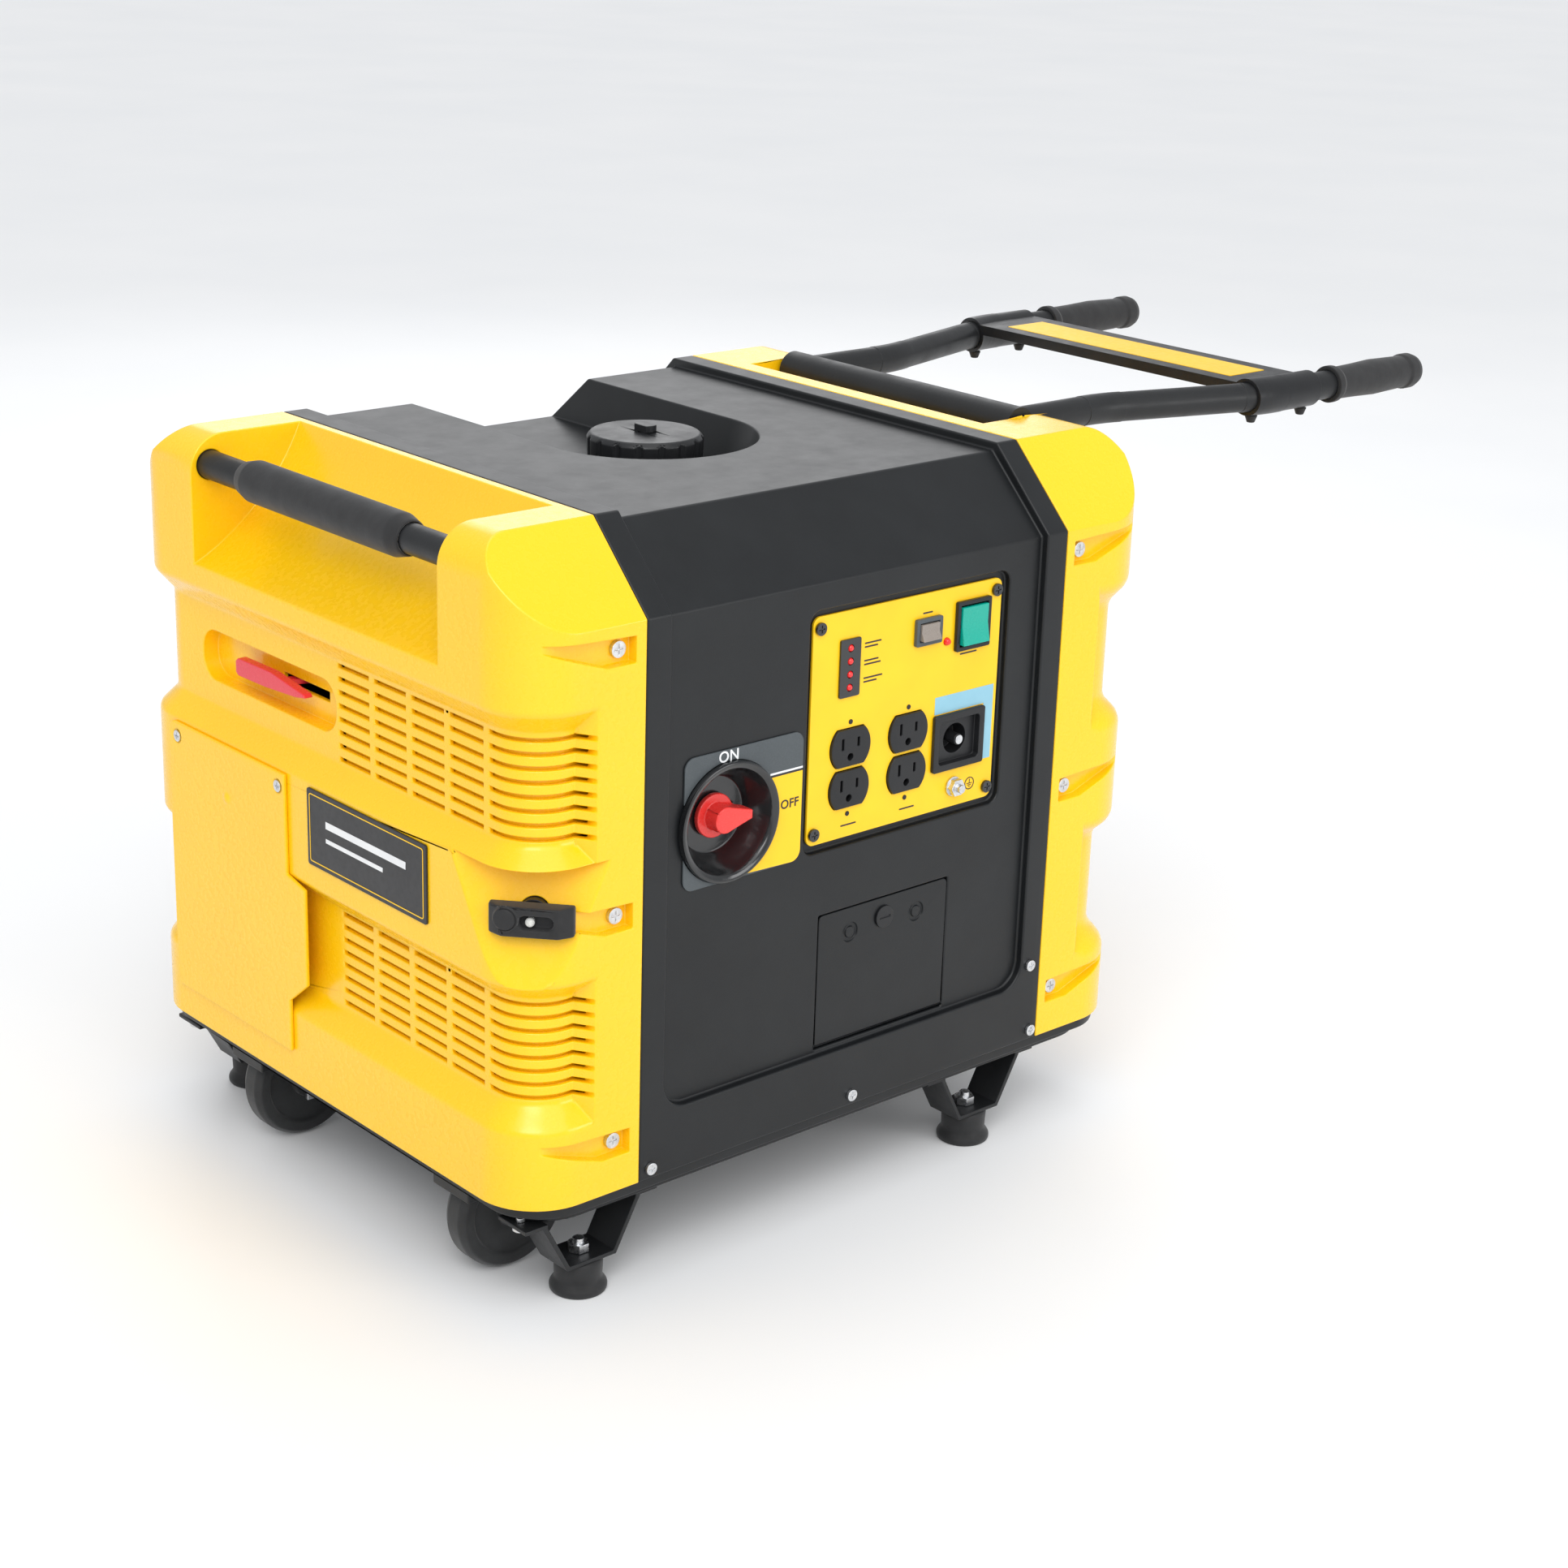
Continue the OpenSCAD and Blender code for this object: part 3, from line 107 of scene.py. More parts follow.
def apply_modifiers(piece):
    pick(piece)
    for modifier in list(piece.modifiers):
        bpy.ops.object.modifier_apply(modifier=modifier.name)


def bake_place(piece):
    """Moves a piece's place and turn into its mesh, and leaves its object at the origin."""
    pick(piece)
    bpy.ops.object.transform_apply(location=True, rotation=True, scale=True)


# An edge that turns more than this many degrees is hard, and gets eased
HARD_EDGE = 28
# How much the shading leans on the larger faces, out of 100
FLAT_SHARE = 60


def soften(piece, width, segments):
    """Eases every hard edge, as a mould or a file would, and evens the shading out over the flats."""
    pick(piece)
    bpy.ops.object.shade_smooth()
    if width:
        bevel = piece.modifiers.new("ease", "BEVEL")
        bevel.width = width
        bevel.segments = segments
        bevel.limit_method = "ANGLE"
        bevel.angle_limit = math.radians(HARD_EDGE)
        bevel.use_clamp_overlap = False
        bevel.loop_slide = False
    even = piece.modifiers.new("even", "WEIGHTED_NORMAL")
    even.weight = FLAT_SHARE
    apply_modifiers(piece)


def merged_copy(node, name):
    """A copy of a CAD node's mesh with its loose triangles joined up."""
    pick(NODES[node])
    bpy.ops.object.duplicate()
    piece = named(name)
    bpy.ops.mesh.customdata_custom_splitnormals_clear()
    edit(piece)
    bpy.ops.mesh.remove_doubles(threshold=SAME_POINT)
    done()
    return piece


# The long level edges of the covers' bands: their heights above the seam, and how wide each is rolled over
BAND_EDGES = [54, 69, 142, 154, 230, 243, 316, 331]
BAND_ROLL = 5
BAND_STEPS = 4
# Only edges that turn between these many degrees are rolled over
LEAST_BEND, MOST_BEND = 10, 75
# An edge is level within the first of these, and on a band's height within the second, in metres
LEVEL_WITHIN, HEIGHT_WITHIN = 0.0001, 0.0004
# A face looks outwards when its normal leans no further in than this
LEANS_IN = -0.05


def round_bands(piece):
    """Rolls the long level edges of a cover's bands over, on its outer skin only."""
    heights = [SEAM_Z + height * MM for height in BAND_EDGES]
    edit(piece)
    bpy.ops.mesh.select_all(action="DESELECT")
    bpy.ops.mesh.select_mode(type="EDGE")
    shape = bmesh.from_edit_mesh(piece.data)
    shape.normal_update()
    for edge in shape.edges:
        if len(edge.link_faces) != 2:
            continue
        bend = math.degrees(edge.calc_face_angle(0))
        a, b = (v.co for v in edge.verts)
        level = abs(a.z - b.z) < LEVEL_WITHIN and min(abs(a.z - h) for h in heights) < HEIGHT_WITHIN
        away = Vector(((a.x + b.x) / 2 - SHELL_X, (a.y + b.y) / 2, 0)).normalized()
        outer = all(face.normal.dot(away) > LEANS_IN for face in edge.link_faces)
        if level and outer and LEAST_BEND < bend < MOST_BEND:
            edge.select_set(True)
    bmesh.update_edit_mesh(piece.data)
    bpy.ops.mesh.bevel(offset=BAND_ROLL * MM, segments=BAND_STEPS, affect="EDGES", clamp_overlap=True)
    done()


def dress(piece, finish):
    piece.data.materials.clear()
    piece.data.materials.append(finish)


def stands_for(piece, node, finish):
    """The piece rides where its node rides, is dressed in its finish, and hides the node."""
    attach(piece, BODY_OF[node])
    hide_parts(node)
    dress(piece, finish)


def added_to(piece, node, finish):
    """The piece is a detail on a node: it rides with it and hides nothing."""
    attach(piece, BODY_OF[node])
    dress(piece, finish)


# ---------------------------------------------------------------- finishes

class Finish:
    """A material whose patterns all run on the object's own coordinates."""

    # The mix node's sockets when it mixes colours
    MIX_FACTOR, MIX_A, MIX_B, MIX_RESULT = 0, 6, 7, 2

    def __init__(self, name):
        self.material = bpy.data.materials.new(name)
        self.material.use_nodes = True
        self.tree = self.material.node_tree
        self.shader = self.tree.nodes["Principled BSDF"]
        self.place = self.tree.nodes.new("ShaderNodeTexCoord").outputs["Object"]

    def noise(self, size, detail=2.0, roughness=0.5):
        """Noise whose blobs measure about `size` metres."""
        node = self.tree.nodes.new("ShaderNodeTexNoise")
        node.inputs["Scale"].default_value = 1 / size
        node.inputs["Detail"].default_value = detail
        node.inputs["Roughness"].default_value = roughness
        self.tree.links.new(self.place, node.inputs["Vector"])
        return node.outputs["Fac"]

    def between(self, factor, low, high, at=(0.3, 0.7)):
        """Spreads the part of a noise between the values in `at` from low to high."""
        node = self.tree.nodes.new("ShaderNodeMapRange")
        node.inputs["From Min"].default_value = at[0]
        node.inputs["From Max"].default_value = at[1]
        node.inputs["To Min"].default_value = low
        node.inputs["To Max"].default_value = high
        self.tree.links.new(factor, node.inputs["Value"])
        return node.outputs["Result"]

    def blend(self, factor, first, second):
        """Runs from the first colour to the second; either may be a colour or another blend."""
        node = self.tree.nodes.new("ShaderNodeMix")
        node.data_type = "RGBA"
        for socket, value in ((self.MIX_A, first), (self.MIX_B, second)):
            if isinstance(value, tuple):
                node.inputs[socket].default_value = (*value, 1)
            else:
                self.tree.links.new(value, node.inputs[socket])
        self.tree.links.new(factor, node.inputs[self.MIX_FACTOR])
        return node.outputs[self.MIX_RESULT]

    def bump(self, *layers):
        """Each layer is a height and its depth in metres; they stack."""
        normal = None
        for height, depth in layers:
            node = self.tree.nodes.new("ShaderNodeBump")
            node.inputs["Strength"].default_value = 1.0
            node.inputs["Distance"].default_value = depth
            self.tree.links.new(height, node.inputs["Height"])
            if normal:
                self.tree.links.new(normal, node.inputs["Normal"])
            normal = node.outputs["Normal"]
        self.tree.links.new(normal, self.shader.inputs["Normal"])

    def colour(self, value):
        self.tree.links.new(value, self.shader.inputs["Base Color"])

    def rough(self, value):
        self.tree.links.new(value, self.shader.inputs["Roughness"])

    def fixed(self, **values):
        for key, value in values.items():
            self.shader.inputs[key.replace("_", " ")].default_value = value


def moulded_gloss(name, light, dark, rough=(0.2, 0.34), coat=0.25):
    """Injection-moulded cover: even colour, faint flow marks, a trace of orange peel."""
    f = Finish(name)
    flow_marks = f.noise(0.16)
    f.colour(f.blend(f.between(flow_marks, 0.0, 1.0, (0.2, 0.8)), dark, light))
    scuffs = f.noise(0.006, 4.0, 0.65)
    f.rough(f.between(scuffs, *rough))
    orange_peel, pores = f.noise(0.012, 1.0), f.noise(0.0006)
    f.bump((orange_peel, 0.000025), (pores, 0.000006))
    f.fixed(IOR=1.48, Coat_Weight=coat, Coat_Roughness=0.12)
    return f.material


def moulded_satin(name, light, dark, rough=(0.36, 0.5), grain=0.0011, depth=0.00004):
    """Textured black moulding: fine spark-eroded grain and slight wear in the sheen."""
    f = Finish(name)
    bloom = f.noise(0.06, 4.0, 0.6)
    specks = f.noise(0.0012)
    base = f.blend(f.between(bloom, 0.0, 1.0), dark, light)
    speck_colour = tuple(min(1, c * 2.2) for c in light)
    f.colour(f.blend(f.between(specks, 0.0, 0.12, (0.45, 0.8)), base, speck_colour))
    f.rough(f.between(f.noise(0.02, 5.0, 0.6), *rough))
    sink_marks = f.noise(0.03)
    f.bump((f.noise(grain, 3.0, 0.6), depth), (sink_marks, 0.00006))
    f.fixed(IOR=1.42)
    return f.material


def rubber_compound(name, light, dark, rough=(0.62, 0.8)):
    """Grip and foot rubber: matt, with bloom and fine pores."""
    f = Finish(name)
    f.colour(f.blend(f.between(f.noise(0.02, 5.0, 0.65), 0.0, 1.0), dark, light))
    f.rough(f.between(f.noise(0.012, 4.0), *rough))
    pores, ripple = f.noise(0.0016, 3.0, 0.6), f.noise(0.008, 3.0)
    f.bump((pores, 0.00007), (ripple, 0.0001))
    f.fixed(IOR=1.46, Sheen_Weight=0.15, Sheen_Roughness=0.5)
    return f.material


def plated_steel(name, light, dark, rough=(0.22, 0.42)):
    """Plated or turned metal, with its crystal mottle."""
    f = Finish(name)
    f.colour(f.blend(f.between(f.noise(0.004, 4.0, 0.6), 0.0, 1.0), dark, light))
    f.rough(f.between(f.noise(0.003, 4.0), *rough))
    f.bump((f.noise(0.0016, 3.0, 0.6), 0.00002))
    f.fixed(Metallic=1.0)
    return f.material


def cast_metal(name, light, dark):
    """Die-cast alloy: a sandy skin with slow swells."""
    f = Finish(name)
    f.colour(f.blend(f.between(f.noise(0.012, 5.0, 0.65), 0.0, 1.0), dark, light))
    f.rough(f.between(f.noise(0.006, 4.0), 0.42, 0.62))
    sand, swell = f.noise(0.0022, 4.0, 0.65), f.noise(0.03)
    f.bump((sand, 0.00018), (swell, 0.0003))
    f.fixed(Metallic=1.0)
    return f.material


def printed_film(name, light, dark):
    """Printed label film: flat ink, satin laminate."""
    f = Finish(name)
    f.colour(f.blend(f.between(f.noise(0.03, 3.0), 0.0, 1.0), dark, light))
    f.rough(f.between(f.noise(0.004, 3.0), 0.32, 0.44))
    f.bump((f.noise(0.0012), 0.000012))
    f.fixed(IOR=1.5)
    return f.material


def lit_lens(name, light, dark, glow):
    """A clear coloured lamp lens with a faint glow."""
    f = Finish(name)
    f.colour(f.blend(f.between(f.noise(0.001), 0.0, 1.0), dark, light))
    f.rough(f.between(f.noise(0.002), 0.08, 0.18))
    f.bump((f.noise(0.0016), 0.00002))
    f.fixed(IOR=1.52, Coat_Weight=0.4, Emission_Color=(*light, 1), Emission_Strength=glow)
    return f.material


def braided_cord(name, light, dark):
    """Starter rope: strands the size of a thread, with a soft nap."""
    f = Finish(name)
    f.colour(f.blend(f.between(f.noise(0.0012, 3.0), 0.0, 1.0), dark, light))
    f.rough(f.between(f.noise(0.002, 3.0), 0.7, 0.9))
    f.bump((f.noise(0.0009, 3.0, 0.6), 0.0002))
    f.fixed(Sheen_Weight=0.3)
    return f.material


YELLOW = moulded_gloss("yellow_moulding", (1.0, 0.6, 0.004), (0.985, 0.565, 0.003))
BLACK = moulded_satin("black_moulding", (0.0085, 0.0098, 0.011), (0.0055, 0.0063, 0.0072), (0.35, 0.41))
TRIM = moulded_satin("black_trim", (0.014, 0.0145, 0.016), (0.008, 0.0085, 0.0095), (0.3, 0.44))
GLOSS_BLACK = moulded_gloss("gloss_black_cup", (0.012, 0.013, 0.014), (0.007, 0.0075, 0.008), (0.12, 0.24),
                            coat=0.5)
GREY = moulded_satin("grey_print", (0.075, 0.087, 0.094), (0.06, 0.07, 0.076), (0.34, 0.46))
RUBBER = rubber_compound("grip_rubber", (0.016, 0.016, 0.017), (0.009, 0.009, 0.0095))
TYRE = rubber_compound("wheel_rubber", (0.02, 0.021, 0.022), (0.011, 0.0115, 0.012), (0.55, 0.75))
ZINC = plated_steel("zinc_plate", (0.78, 0.79, 0.8), (0.55, 0.56, 0.58))
DARK_STEEL = plated_steel("dark_steel", (0.36, 0.35, 0.34), (0.2, 0.19, 0.19), (0.38, 0.6))
BLACK_STEEL = moulded_satin("powder_coat", (0.014, 0.015, 0.016), (0.009, 0.0095, 0.0105), (0.34, 0.5),
                            grain=0.0022, depth=0.00007)
ALLOY = cast_metal("cast_alloy", (0.66, 0.67, 0.68), (0.42, 0.43, 0.45))
COPPER = plated_steel("varnished_copper", (0.6, 0.26, 0.11), (0.36, 0.13, 0.05), (0.3, 0.5))
RED = moulded_gloss("red_moulding", (0.88, 0.045, 0.035), (0.74, 0.03, 0.028))
PINK_RED = moulded_gloss("choke_red", (0.86, 0.04, 0.07), (0.7, 0.028, 0.05))
GREEN = moulded_gloss("green_rocker", (0.0, 0.43, 0.32), (0.0, 0.34, 0.25))
CLEAR_GREY = moulded_gloss("smoke_rocker", (0.42, 0.36, 0.3), (0.2, 0.17, 0.15))
PALE_BLUE = printed_film("pale_blue_film", (0.3, 0.56, 0.68), (0.25, 0.5, 0.62))
WHITE_INK = printed_film("white_ink", (0.85, 0.86, 0.86), (0.78, 0.79, 0.8))
BLACK_INK = printed_film("black_ink", (0.02, 0.02, 0.022), (0.014, 0.014, 0.016))
YELLOW_FILM = printed_film("yellow_film", (1.0, 0.6, 0.005), (0.97, 0.56, 0.004))
RED_LENS = lit_lens("red_lens", (0.9, 0.02, 0.02), (0.6, 0.01, 0.01), 0.15)
ROPE = braided_cord("starter_cord", (0.7, 0.7, 0.66), (0.5, 0.5, 0.47))

# ---------------------------------------------------------------- eased mouldings

# Each CAD node that keeps its shape: how far its edges are eased, in mm, and its finish
EASED = {
    "left_end_cover": (0.9, YELLOW), "right_end_cover": (0.9, YELLOW), "service_cover": (0.9, YELLOW),
    "control_panel": (0.3, YELLOW_FILM), "handle_label": (0.25, YELLOW_FILM),
    "center_shell": (1.5, BLACK), "base_tray": (1.2, BLACK), "access_door": (0.6, BLACK),
    "name_plate": (0.35, BLACK_INK), "handle_cross_plate": (0.3, TRIM), "rear_panel": (0.8, TRIM),
    "exhaust_grille": (0.6, BLACK_STEEL), "indicator_window": (0.3, GLOSS_BLACK), "ac_outlets": (0.5, TRIM),
    "dc_outlet": (0.5, TRIM), "ground_terminal": (0.25, ZINC), "engine_switch_frame": (0.4, TRIM),
    "engine_switch_rocker": (0.6, GREEN), "eco_switch_frame": (0.4, GREY),
    "eco_switch_rocker": (0.5, CLEAR_GREY),
    "fuel_label_plate": (0.2, GREY), "fuel_dial_cup": (0.9, GLOSS_BLACK), "fuel_dial_knob": (0.9, RED),
    "fuel_valve": (0.8, ALLOY), "access_door_latch": (0.3, TRIM), "access_door_hinge": (0.0, ZINC),
    "carry_handle_tube": (0.4, BLACK_STEEL), "carry_handle_grip": (1.2, RUBBER),
    "handle_brackets": (0.6, BLACK_STEEL),
    "handle_frame": (0.15, BLACK_STEEL), "handle_grips": (0.9, RUBBER), "handle_pegs": (0.5, RUBBER),
    "fuel_tank": (4.0, TRIM), "filler_neck": (0.6, ZINC), "fuel_cap": (1.0, TRIM),
    "cap_vent_knob": (0.5, TRIM),
    "choke_bracket": (0.5, ZINC), "choke_lever": (0.7, PINK_RED), "rope_guide": (0.6, TRIM),
    "recoil_grip": (1.5, RUBBER), "recoil_rope": (0.0, ROPE), "recoil_pulley": (0.8, TRIM),
    "recoil_housing": (0.8, TRIM), "wheel_near": (1.0, TYRE), "wheel_far": (1.0, TYRE),
    "wheel_axle": (0.4, ZINC), "foot_brackets": (0.7, BLACK_STEEL), "rubber_feet": (1.2, RUBBER),
    "foot_bolts": (0.4, ZINC), "engine_block": (1.2, ALLOY), "rotor_flywheel": (0.8, DARK_STEEL),
    "alternator_stator": (0.8, COPPER), "muffler": (2.0, DARK_STEEL), "inverter_unit": (0.6, ALLOY),
    "battery": (1.6, TRIM), "service_cover_screws": (0.25, ZINC), "cover_screws": (0.3, ZINC),
    "shell_screws": (0.25, ZINC), "panel_screws": (0.25, GLOSS_BLACK), "indicator_lamps": (0.2, RED_LENS),
}

BANDED = ("left_end_cover", "right_end_cover")
# The largest mouldings take a rounder ease
FINE_STEPS, STEPS = 3, 2

for node, (ease, finish) in EASED.items():
    piece = merged_copy(node, node + "_finished")
    if node in BANDED:
        round_bands(piece)
    soften(piece, ease * MM, FINE_STEPS if node in (*BANDED, "center_shell") else STEPS)
    stands_for(piece, node, finish)

# ---------------------------------------------------------------- films, print and liners

# How a film is turned to lie on the front or on the left end, and the way that it faces there
FRONT = (math.radians(90), 0, 0)
LEFT = (math.radians(90), 0, math.radians(-90))
FACES = {FRONT: Vector((0, -1, 0)), LEFT: Vector((-1, 0, 0))}
CORNER_STEPS = 5


def arc(radius, start, end, steps, centre=(0, 0)):
    """Points on an arc in mm, its angles in degrees."""
    turn = [math.radians(start + (end - start) * i / steps) for i in range(steps + 1)]
    return [(centre[0] + radius * math.cos(a), centre[1] + radius * math.sin(a)) for a in turn]


def rounded(width, height, radius, centre=(0, 0)):
    """The outline of a rectangle with rounded corners, in mm."""
    w, h = width / 2 - radius, height / 2 - radius
    points = []
    for cx, cy, start in ((w, h, 0), (-w, h, 90), (-w, -h, 180), (w, -h, 270)):
        points += arc(radius, start, start + 90, CORNER_STEPS, (centre[0] + cx, centre[1] + cy))
    return points


def drawn(name, dimensions, thick):
    """An empty flat drawing that is `thick` mm deep, as a new object."""
    drawing = bpy.data.curves.new(name, "CURVE")
    drawing.dimensions = dimensions
    drawing.extrude = thick / 2 * MM
    piece = bpy.data.objects.new(name, drawing)
    bpy.context.collection.objects.link(piece)
    return piece


def draw_line(piece, points):
    """Adds a line through points in metres to a drawing."""
    spline = piece.data.splines.new("POLY")
    spline.points.add(len(points) - 1)
    for point, place in zip(spline.points, points):
        point.co = (*place, 1)
    return spline


def made_mesh(piece, name):
    pick(piece)
    bpy.ops.object.convert(target="MESH")
    return named(name)


def cut_film(name, outlines, thick, origin, facing, node, finish):
    """A thin film cut to its outlines, mm across and up, laid with its back on the face at `origin`."""
    piece = drawn(name, "2D", thick)
    piece.data.fill_mode = "BOTH"
    for outline in outlines:
        draw_line(piece, [(across * MM, up * MM, 0) for across, up in outline]).use_cyclic_u = True
    lay_film(piece, name, thick, origin, facing, node, finish)


def lay_film(piece, name, thick, origin, facing, node, finish):
    """Makes a drawing a mesh and lays it on the face at `origin`."""
    piece = made_mesh(piece, name)
    piece.rotation_euler = facing
    piece.location = Vector(origin) + FACES[facing] * thick / 2 * MM
    bake_place(piece)
    edit(piece)
    bpy.ops.mesh.remove_doubles(threshold=SAME_FILM_POINT)
    bpy.ops.mesh.normals_make_consistent(inside=False)
    done()
    added_to(piece, node, finish)


# The type size for a capital of one unit, and how much the strokes are thickened, in mm
SIZE_OF_CAPITAL = 1.4
STROKE_GAIN = 0.12


def printed_word(name, word, height, centre, thick, origin, node, finish):
    """A word in raised ink on the front, its centre given in mm across and up from `origin`."""
    deselect()
    bpy.ops.object.text_add()
    piece = bpy.context.active_object
    piece.name = name
    text = piece.data
    text.body = word
    text.size = height * SIZE_OF_CAPITAL * MM
    text.extrude = thick / 2 * MM
    text.align_x = "CENTER"
    text.align_y = "CENTER"
    text.resolution_u = 4
    text.space_character = 1.05
    text.offset = STROKE_GAIN * MM
    place = Vector((centre[0] * MM, 0, centre[1] * MM))
    lay_film(piece, name, thick, Vector(origin) + place, FRONT, node, finish)


# The fuel label: its yellow field sweeps round the cup to a point under it
cup_low, cup_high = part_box("fuel_dial_cup")
label_low, label_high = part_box("fuel_label_plate")
dial = Vector(((cup_low[0] + cup_high[0]) / 2, label_low[1], (cup_low[2] + cup_high[2]) / 2))
# In mm: how thick the field and the rules are, their gap to the cup, their gap to the plate's edge, the
# field's top over the dial's middle, how far across its point lies, and its lower corner
FIELD_THICK = 0.25
RULE_THICK = 0.3
PRINT_GAP = 0.5
LABEL_EDGE = 0.4
FIELD_TOP = 22
FIELD_POINT = 13
FIELD_CORNER = 7.5
cup_r = (cup_high[0] - cup_low[0]) / 2 / MM + PRINT_GAP
right, foot = (label_high[0] - dial[0]) / MM - LABEL_EDGE, (label_low[2] - dial[2]) / MM + LABEL_EDGE
field_start = math.degrees(math.asin(FIELD_TOP / cup_r))
field_end = -math.degrees(math.acos(FIELD_POINT / cup_r))
field = arc(cup_r, field_end, field_start, 24) + [(right, FIELD_TOP)]
field += arc(FIELD_CORNER, 0, -90, 6, (right - FIELD_CORNER, foot + FIELD_CORNER))
cut_film("fuel_label_field", [field], FIELD_THICK, dial, FRONT, "fuel_label_plate", YELLOW_FILM)
for name, low, high, ink in (("fuel_label_rule_white", 23.6, 24.9, WHITE_INK),
                             ("fuel_label_rule_black", FIELD_TOP, 23.6, BLACK_INK)):
    start = math.sqrt(cup_r ** 2 - low ** 2) + PRINT_GAP
    cut_film(name, [[(start, low), (right, low), (right, high), (start, high)]], RULE_THICK, dial, FRONT,
             "fuel_label_plate", ink)
# ON is printed on the grey plate, and OFF on the yellow field
on_field = dial - Vector((0, FIELD_THICK * MM, 0))
printed_word("word_on", "ON", 7.5, (-1, 44.3), 0.25, dial, "fuel_label_plate", WHITE_INK)
printed_word("word_off", "OFF", 6.2, (52, 1), 0.25, on_field, "fuel_label_plate", BLACK_INK)

# The control panel's print
panel_low, panel_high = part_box("control_panel")
panel = Vector(((panel_low[0] + panel_high[0]) / 2, panel_low[1], (panel_low[2] + panel_high[2]) / 2))
# A label film's thickness, in mm
FILM = 0.2


def ring_round(radius, centre, steps=24):
    """A closed ring of points."""
    return arc(radius, 0, 360 - 360 / steps, steps - 1, centre)


dc_outline = [(27.5, -9), (27.5, 3.4), (83.6, 3.4), (83.6, -50), (74.6, -50), (74.6, -9)]
cut_film("dc_label", [dc_outline], FILM, panel, FRONT, "control_panel", PALE_BLUE)
sign = (sign_x, sign_z) = (65, -65.5)
ring = [ring_round(4.6, sign), ring_round(3.9, sign)]
bars = [[(sign_x - w, sign_z + z), (sign_x + w, sign_z + z), (sign_x + w, sign_z + z + 0.5),
         (sign_x - w, sign_z + z + 0.5)] for w, z in ((2.6, -0.3), (1.7, -1.5), (0.8, -2.7))]
stem = [[(sign_x - 0.3, sign_z + 0.2), (sign_x + 0.3, sign_z + 0.2), (sign_x + 0.3, sign_z + 3.1),
         (sign_x - 0.3, sign_z + 3.1)]]
cut_film("ground_sign", ring, FILM, panel, FRONT, "control_panel", BLACK_INK)
cut_film("ground_sign_bars", bars + stem, FILM, panel, FRONT, "control_panel", BLACK_INK)
dots = [ring_round(1.7, (x, z), 12) for x in (-50.5, 2.5) for z in (2, -62.5)]
cut_film("outlet_marks", dots, 0.5, panel, FRONT, "control_panel", TRIM)
# The bright centre contact of the direct-current socket ends a little proud of the panel
CONTACT_PROUD = 2
contact = panel - Vector((0, CONTACT_PROUD * MM, 0))
cut_film("dc_contact", [ring_round(3.2, (50, -30))], 0.8, contact, FRONT, "dc_outlet", ZINC)
# Plain rules stand where the panel's captions are: their length, and their place from its middle
RULE_HEIGHT = 1.1
CAPTIONS = ((15, -33, 54), (12, -34.5, 51.4), (13, -34, 42), (15, -33, 39.4), (17, -32, 30),
            (12, -34.5, 27.4), (9, 16.5, 65.5), (16, 57, 30.6), (14, -49, -70.5), (14, 5, -70.5))
rules = [rounded(length, RULE_HEIGHT, 0.5, (x, z)) for length, x, z in CAPTIONS]
cut_film("panel_rules", rules, 0.15, panel, FRONT, "control_panel", BLACK_INK)

# A fine border and two plain stripes on the blank name plate
plate_low, plate_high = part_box("name_plate")
plate = Vector((plate_low[0], (plate_low[1] + plate_high[1]) / 2, (plate_low[2] + plate_high[2]) / 2))
wide, tall = (plate_high[1] - plate_low[1]) / MM, (plate_high[2] - plate_low[2]) / MM
border = [rounded(wide - 6, tall - 6, 2), rounded(wide - 7.4, tall - 7.4, 1.4)]
cut_film("name_plate_border", border, FILM, plate, LEFT, "name_plate", YELLOW_FILM)
stripes = [[(-46, 4), (46, 4), (46, 9), (-46, 9)], [(-46, -6), (20, -6), (20, -3), (-46, -3)]]
cut_film("name_plate_stripes", stripes, FILM, plate, LEFT, "name_plate", WHITE_INK)


# Moulded liners close the louvres from behind, a little way in from the left cover's wall. In mm: how far
# the liner lies from the shell's middle along and across, its corner, where it starts, and its thickness
LINER_WALL = 262
LINER_SIDE = 212
LINER_R = 27
LINER_START = 200
LINER_THICK = 1.2


def louvre_liner(name, low, high, far_end):
    """A liner between two heights over the seam, in mm, that ends at `far_end` across."""
    path = [(-LINER_START, -LINER_SIDE)]
    path += arc(LINER_R, 270, 180, 12, (LINER_R - LINER_WALL, LINER_R - LINER_SIDE))
    path += [(-LINER_WALL, far_end)]
    middle = SEAM_Z + (low + high) / 2 * MM
    piece = drawn(name, "3D", high - low)
    draw_line(piece, [(SHELL_X + x * MM, y * MM, middle) for x, y in path])
    piece = made_mesh(piece, name)
    wall = piece.modifiers.new("wall", "SOLIDIFY")
    wall.thickness = LINER_THICK * MM
    wall.offset = 0
    apply_modifiers(piece)
    edit(piece)
    bpy.ops.mesh.normals_make_consistent(inside=False)
    done()
    bpy.ops.object.shade_smooth_by_angle(angle=math.radians(35))
    added_to(piece, "left_end_cover", YELLOW)


louvre_liner("louvre_liner_low", 71, 140, -7)
louvre_liner("louvre_liner_high", 245, 314, -13.6)

# ---------------------------------------------------------------- floor, light, camera

# The floor's side and the point that the softboxes face, in metres
FLOOR_SIZE = 160
MIDDLE = (0, 0, 0.3)
# Each softbox: where it hangs, its width and height in metres, and its watts
SOFTBOXES = {
    "key_light": ((-1.9, -1.6, 2.1), 1.3, 1.3, 20),
    "front_fill": ((0.9, -2.6, 1.0), 1.2, 0.9, 12),
    "top_light": ((0.2, 0.3, 2.6), 1.6, 1.2, 8),
    "back_light": ((1.4, 2.2, 1.6), 1.8, 1.4, 10),
}


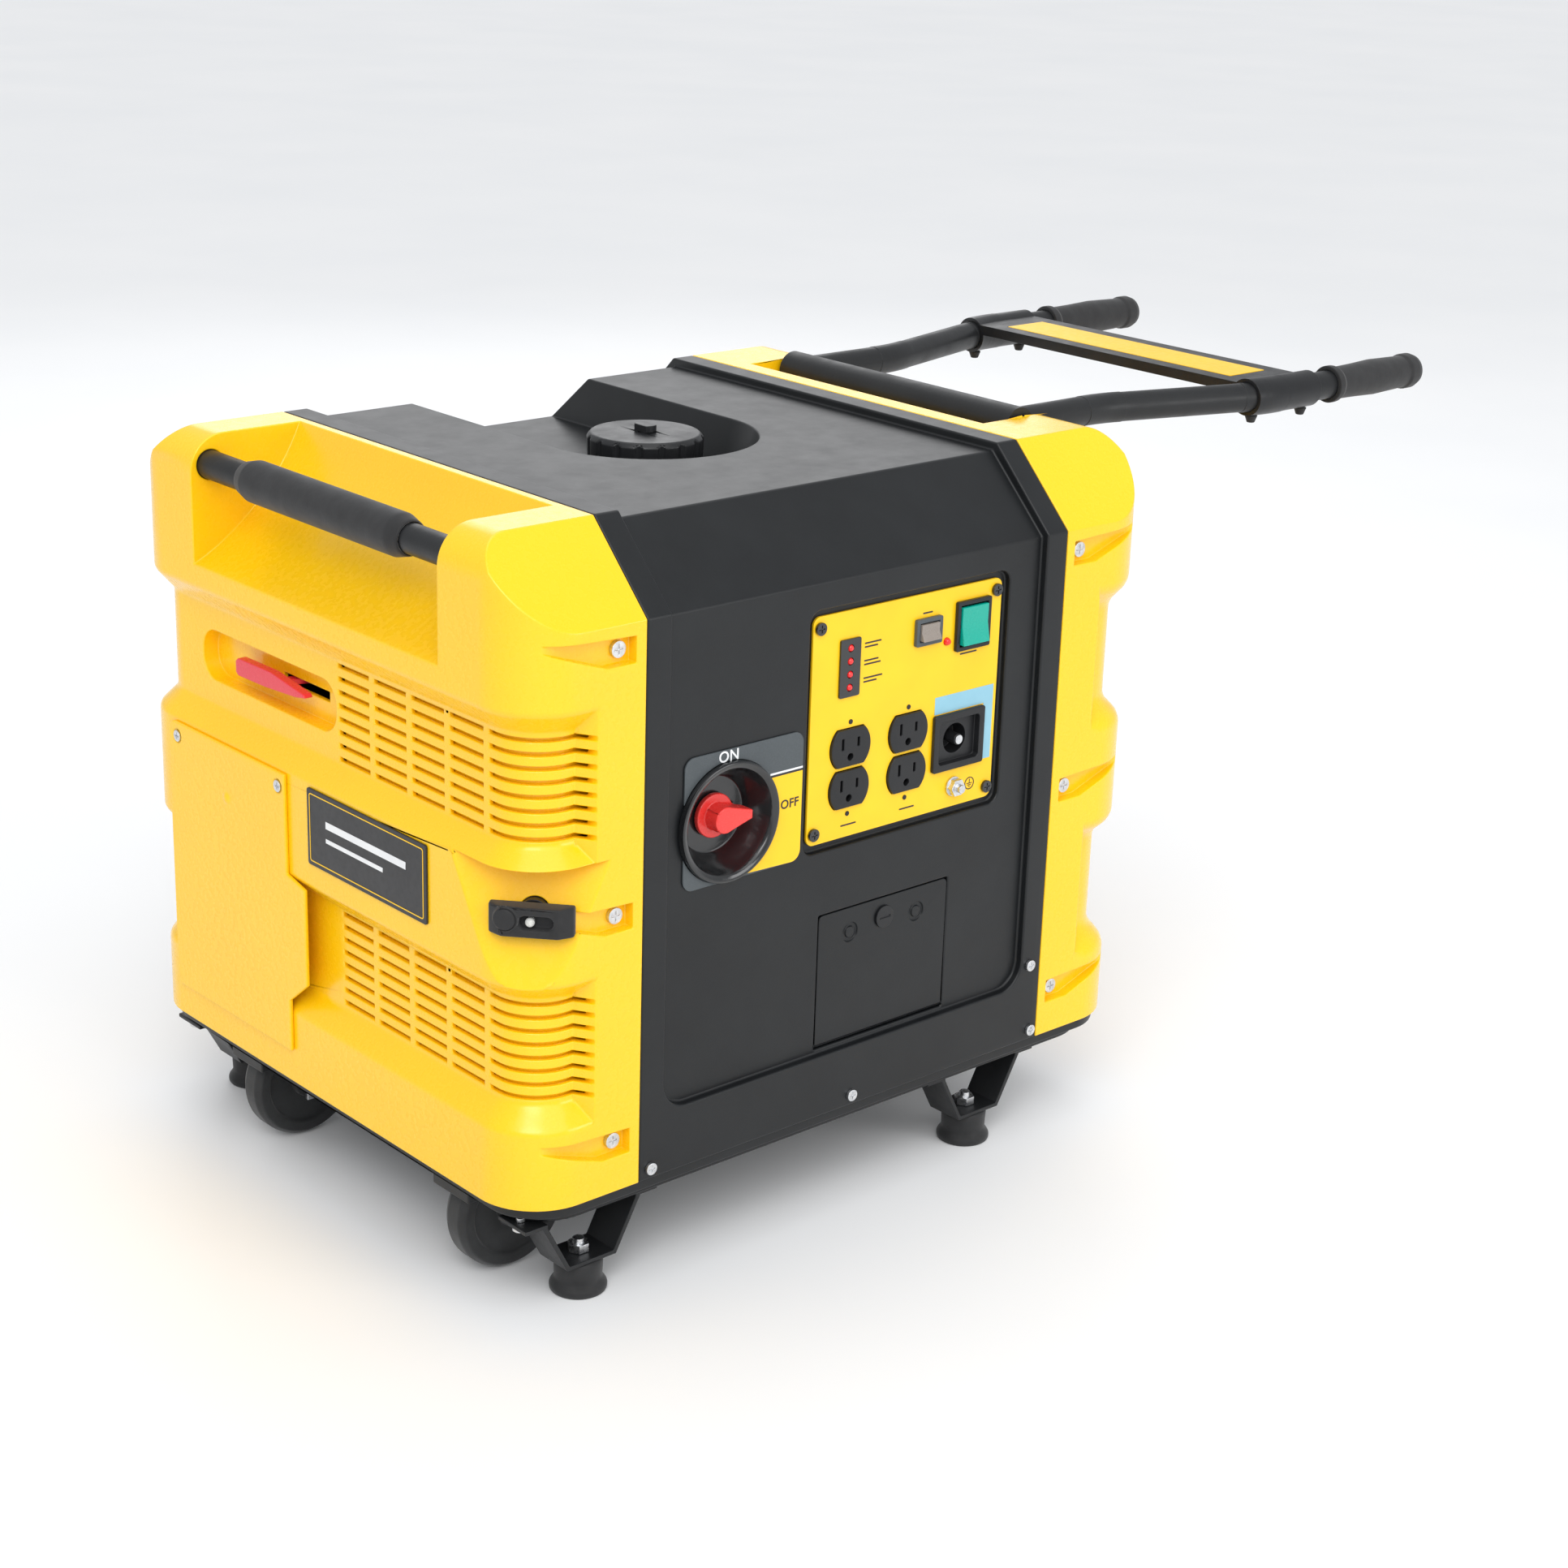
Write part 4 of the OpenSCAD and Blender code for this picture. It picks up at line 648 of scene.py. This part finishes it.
def hang(name, kind, energy):
    """A new lamp and the object that holds it."""
    lamp = bpy.data.lights.new(name, kind)
    lamp.energy = energy
    holder = bpy.data.objects.new(name, lamp)
    bpy.context.collection.objects.link(holder)
    return lamp, holder


def studio():
    low, _ = cad_box
    deselect()
    bpy.ops.mesh.primitive_plane_add(size=FLOOR_SIZE, location=(0, 0, low[2]))
    floor = named("studio_floor")
    bake_place(floor)
    f = Finish("pale_floor")
    f.colour(f.blend(f.between(f.noise(0.5, 3.0), 0.0, 1.0), (0.86, 0.865, 0.87), (0.89, 0.89, 0.89)))
    f.fixed(Roughness=0.55)
    dress(floor, f.material)

    for name, (where, width, height, power) in SOFTBOXES.items():
        lamp, holder = hang(name, "AREA", power)
        lamp.shape = "RECTANGLE"
        lamp.size, lamp.size_y = width, height
        holder.location = where
        holder.rotation_euler = (Vector(MIDDLE) - Vector(where)).to_track_quat("-Z", "Y").to_euler()
    sun, holder = hang("broad_light", "SUN", 1.35)
    sun.angle = math.radians(70)
    holder.rotation_euler = (math.radians(35), math.radians(-20), 0)
    world = bpy.data.worlds.new("studio_air")
    world.use_nodes = True
    background = world.node_tree.nodes["Background"]
    background.inputs["Color"].default_value = (0.95, 0.97, 1.0, 1)
    background.inputs["Strength"].default_value = 0.66
    bpy.context.scene.world = world
    bpy.context.scene.view_settings.view_transform = "Standard"


def photographer(eye, yaw, pitch, roll, lens):
    """A camera turned `yaw` from +Y towards +X, looking `pitch` down, its right side raised by `roll`."""
    data = bpy.data.cameras.new("camera")
    data.lens = lens
    data.sensor_width = 36
    data.clip_start, data.clip_end = 0.05, 50
    camera = bpy.data.objects.new("camera", data)
    bpy.context.collection.objects.link(camera)
    y, p, t = (math.radians(v) for v in (yaw, pitch, roll))
    ahead = Vector((math.sin(y) * math.cos(p), math.cos(y) * math.cos(p), -math.sin(p)))
    level = Vector((math.cos(y), -math.sin(y), 0))
    above = level.cross(ahead)
    right = level * math.cos(t) + above * math.sin(t)
    up = right.cross(ahead)
    camera.matrix_world = Matrix((
        (right.x, up.x, -ahead.x, eye[0]),
        (right.y, up.y, -ahead.y, eye[1]),
        (right.z, up.z, -ahead.z, eye[2]),
        (0, 0, 0, 1)))
    bpy.context.scene.camera = camera


studio()
photographer((SHELL_X - 1.238, -1.519, SEAM_Z + 0.869), yaw=42.17, pitch=19.57, roll=1.90, lens=65.6)
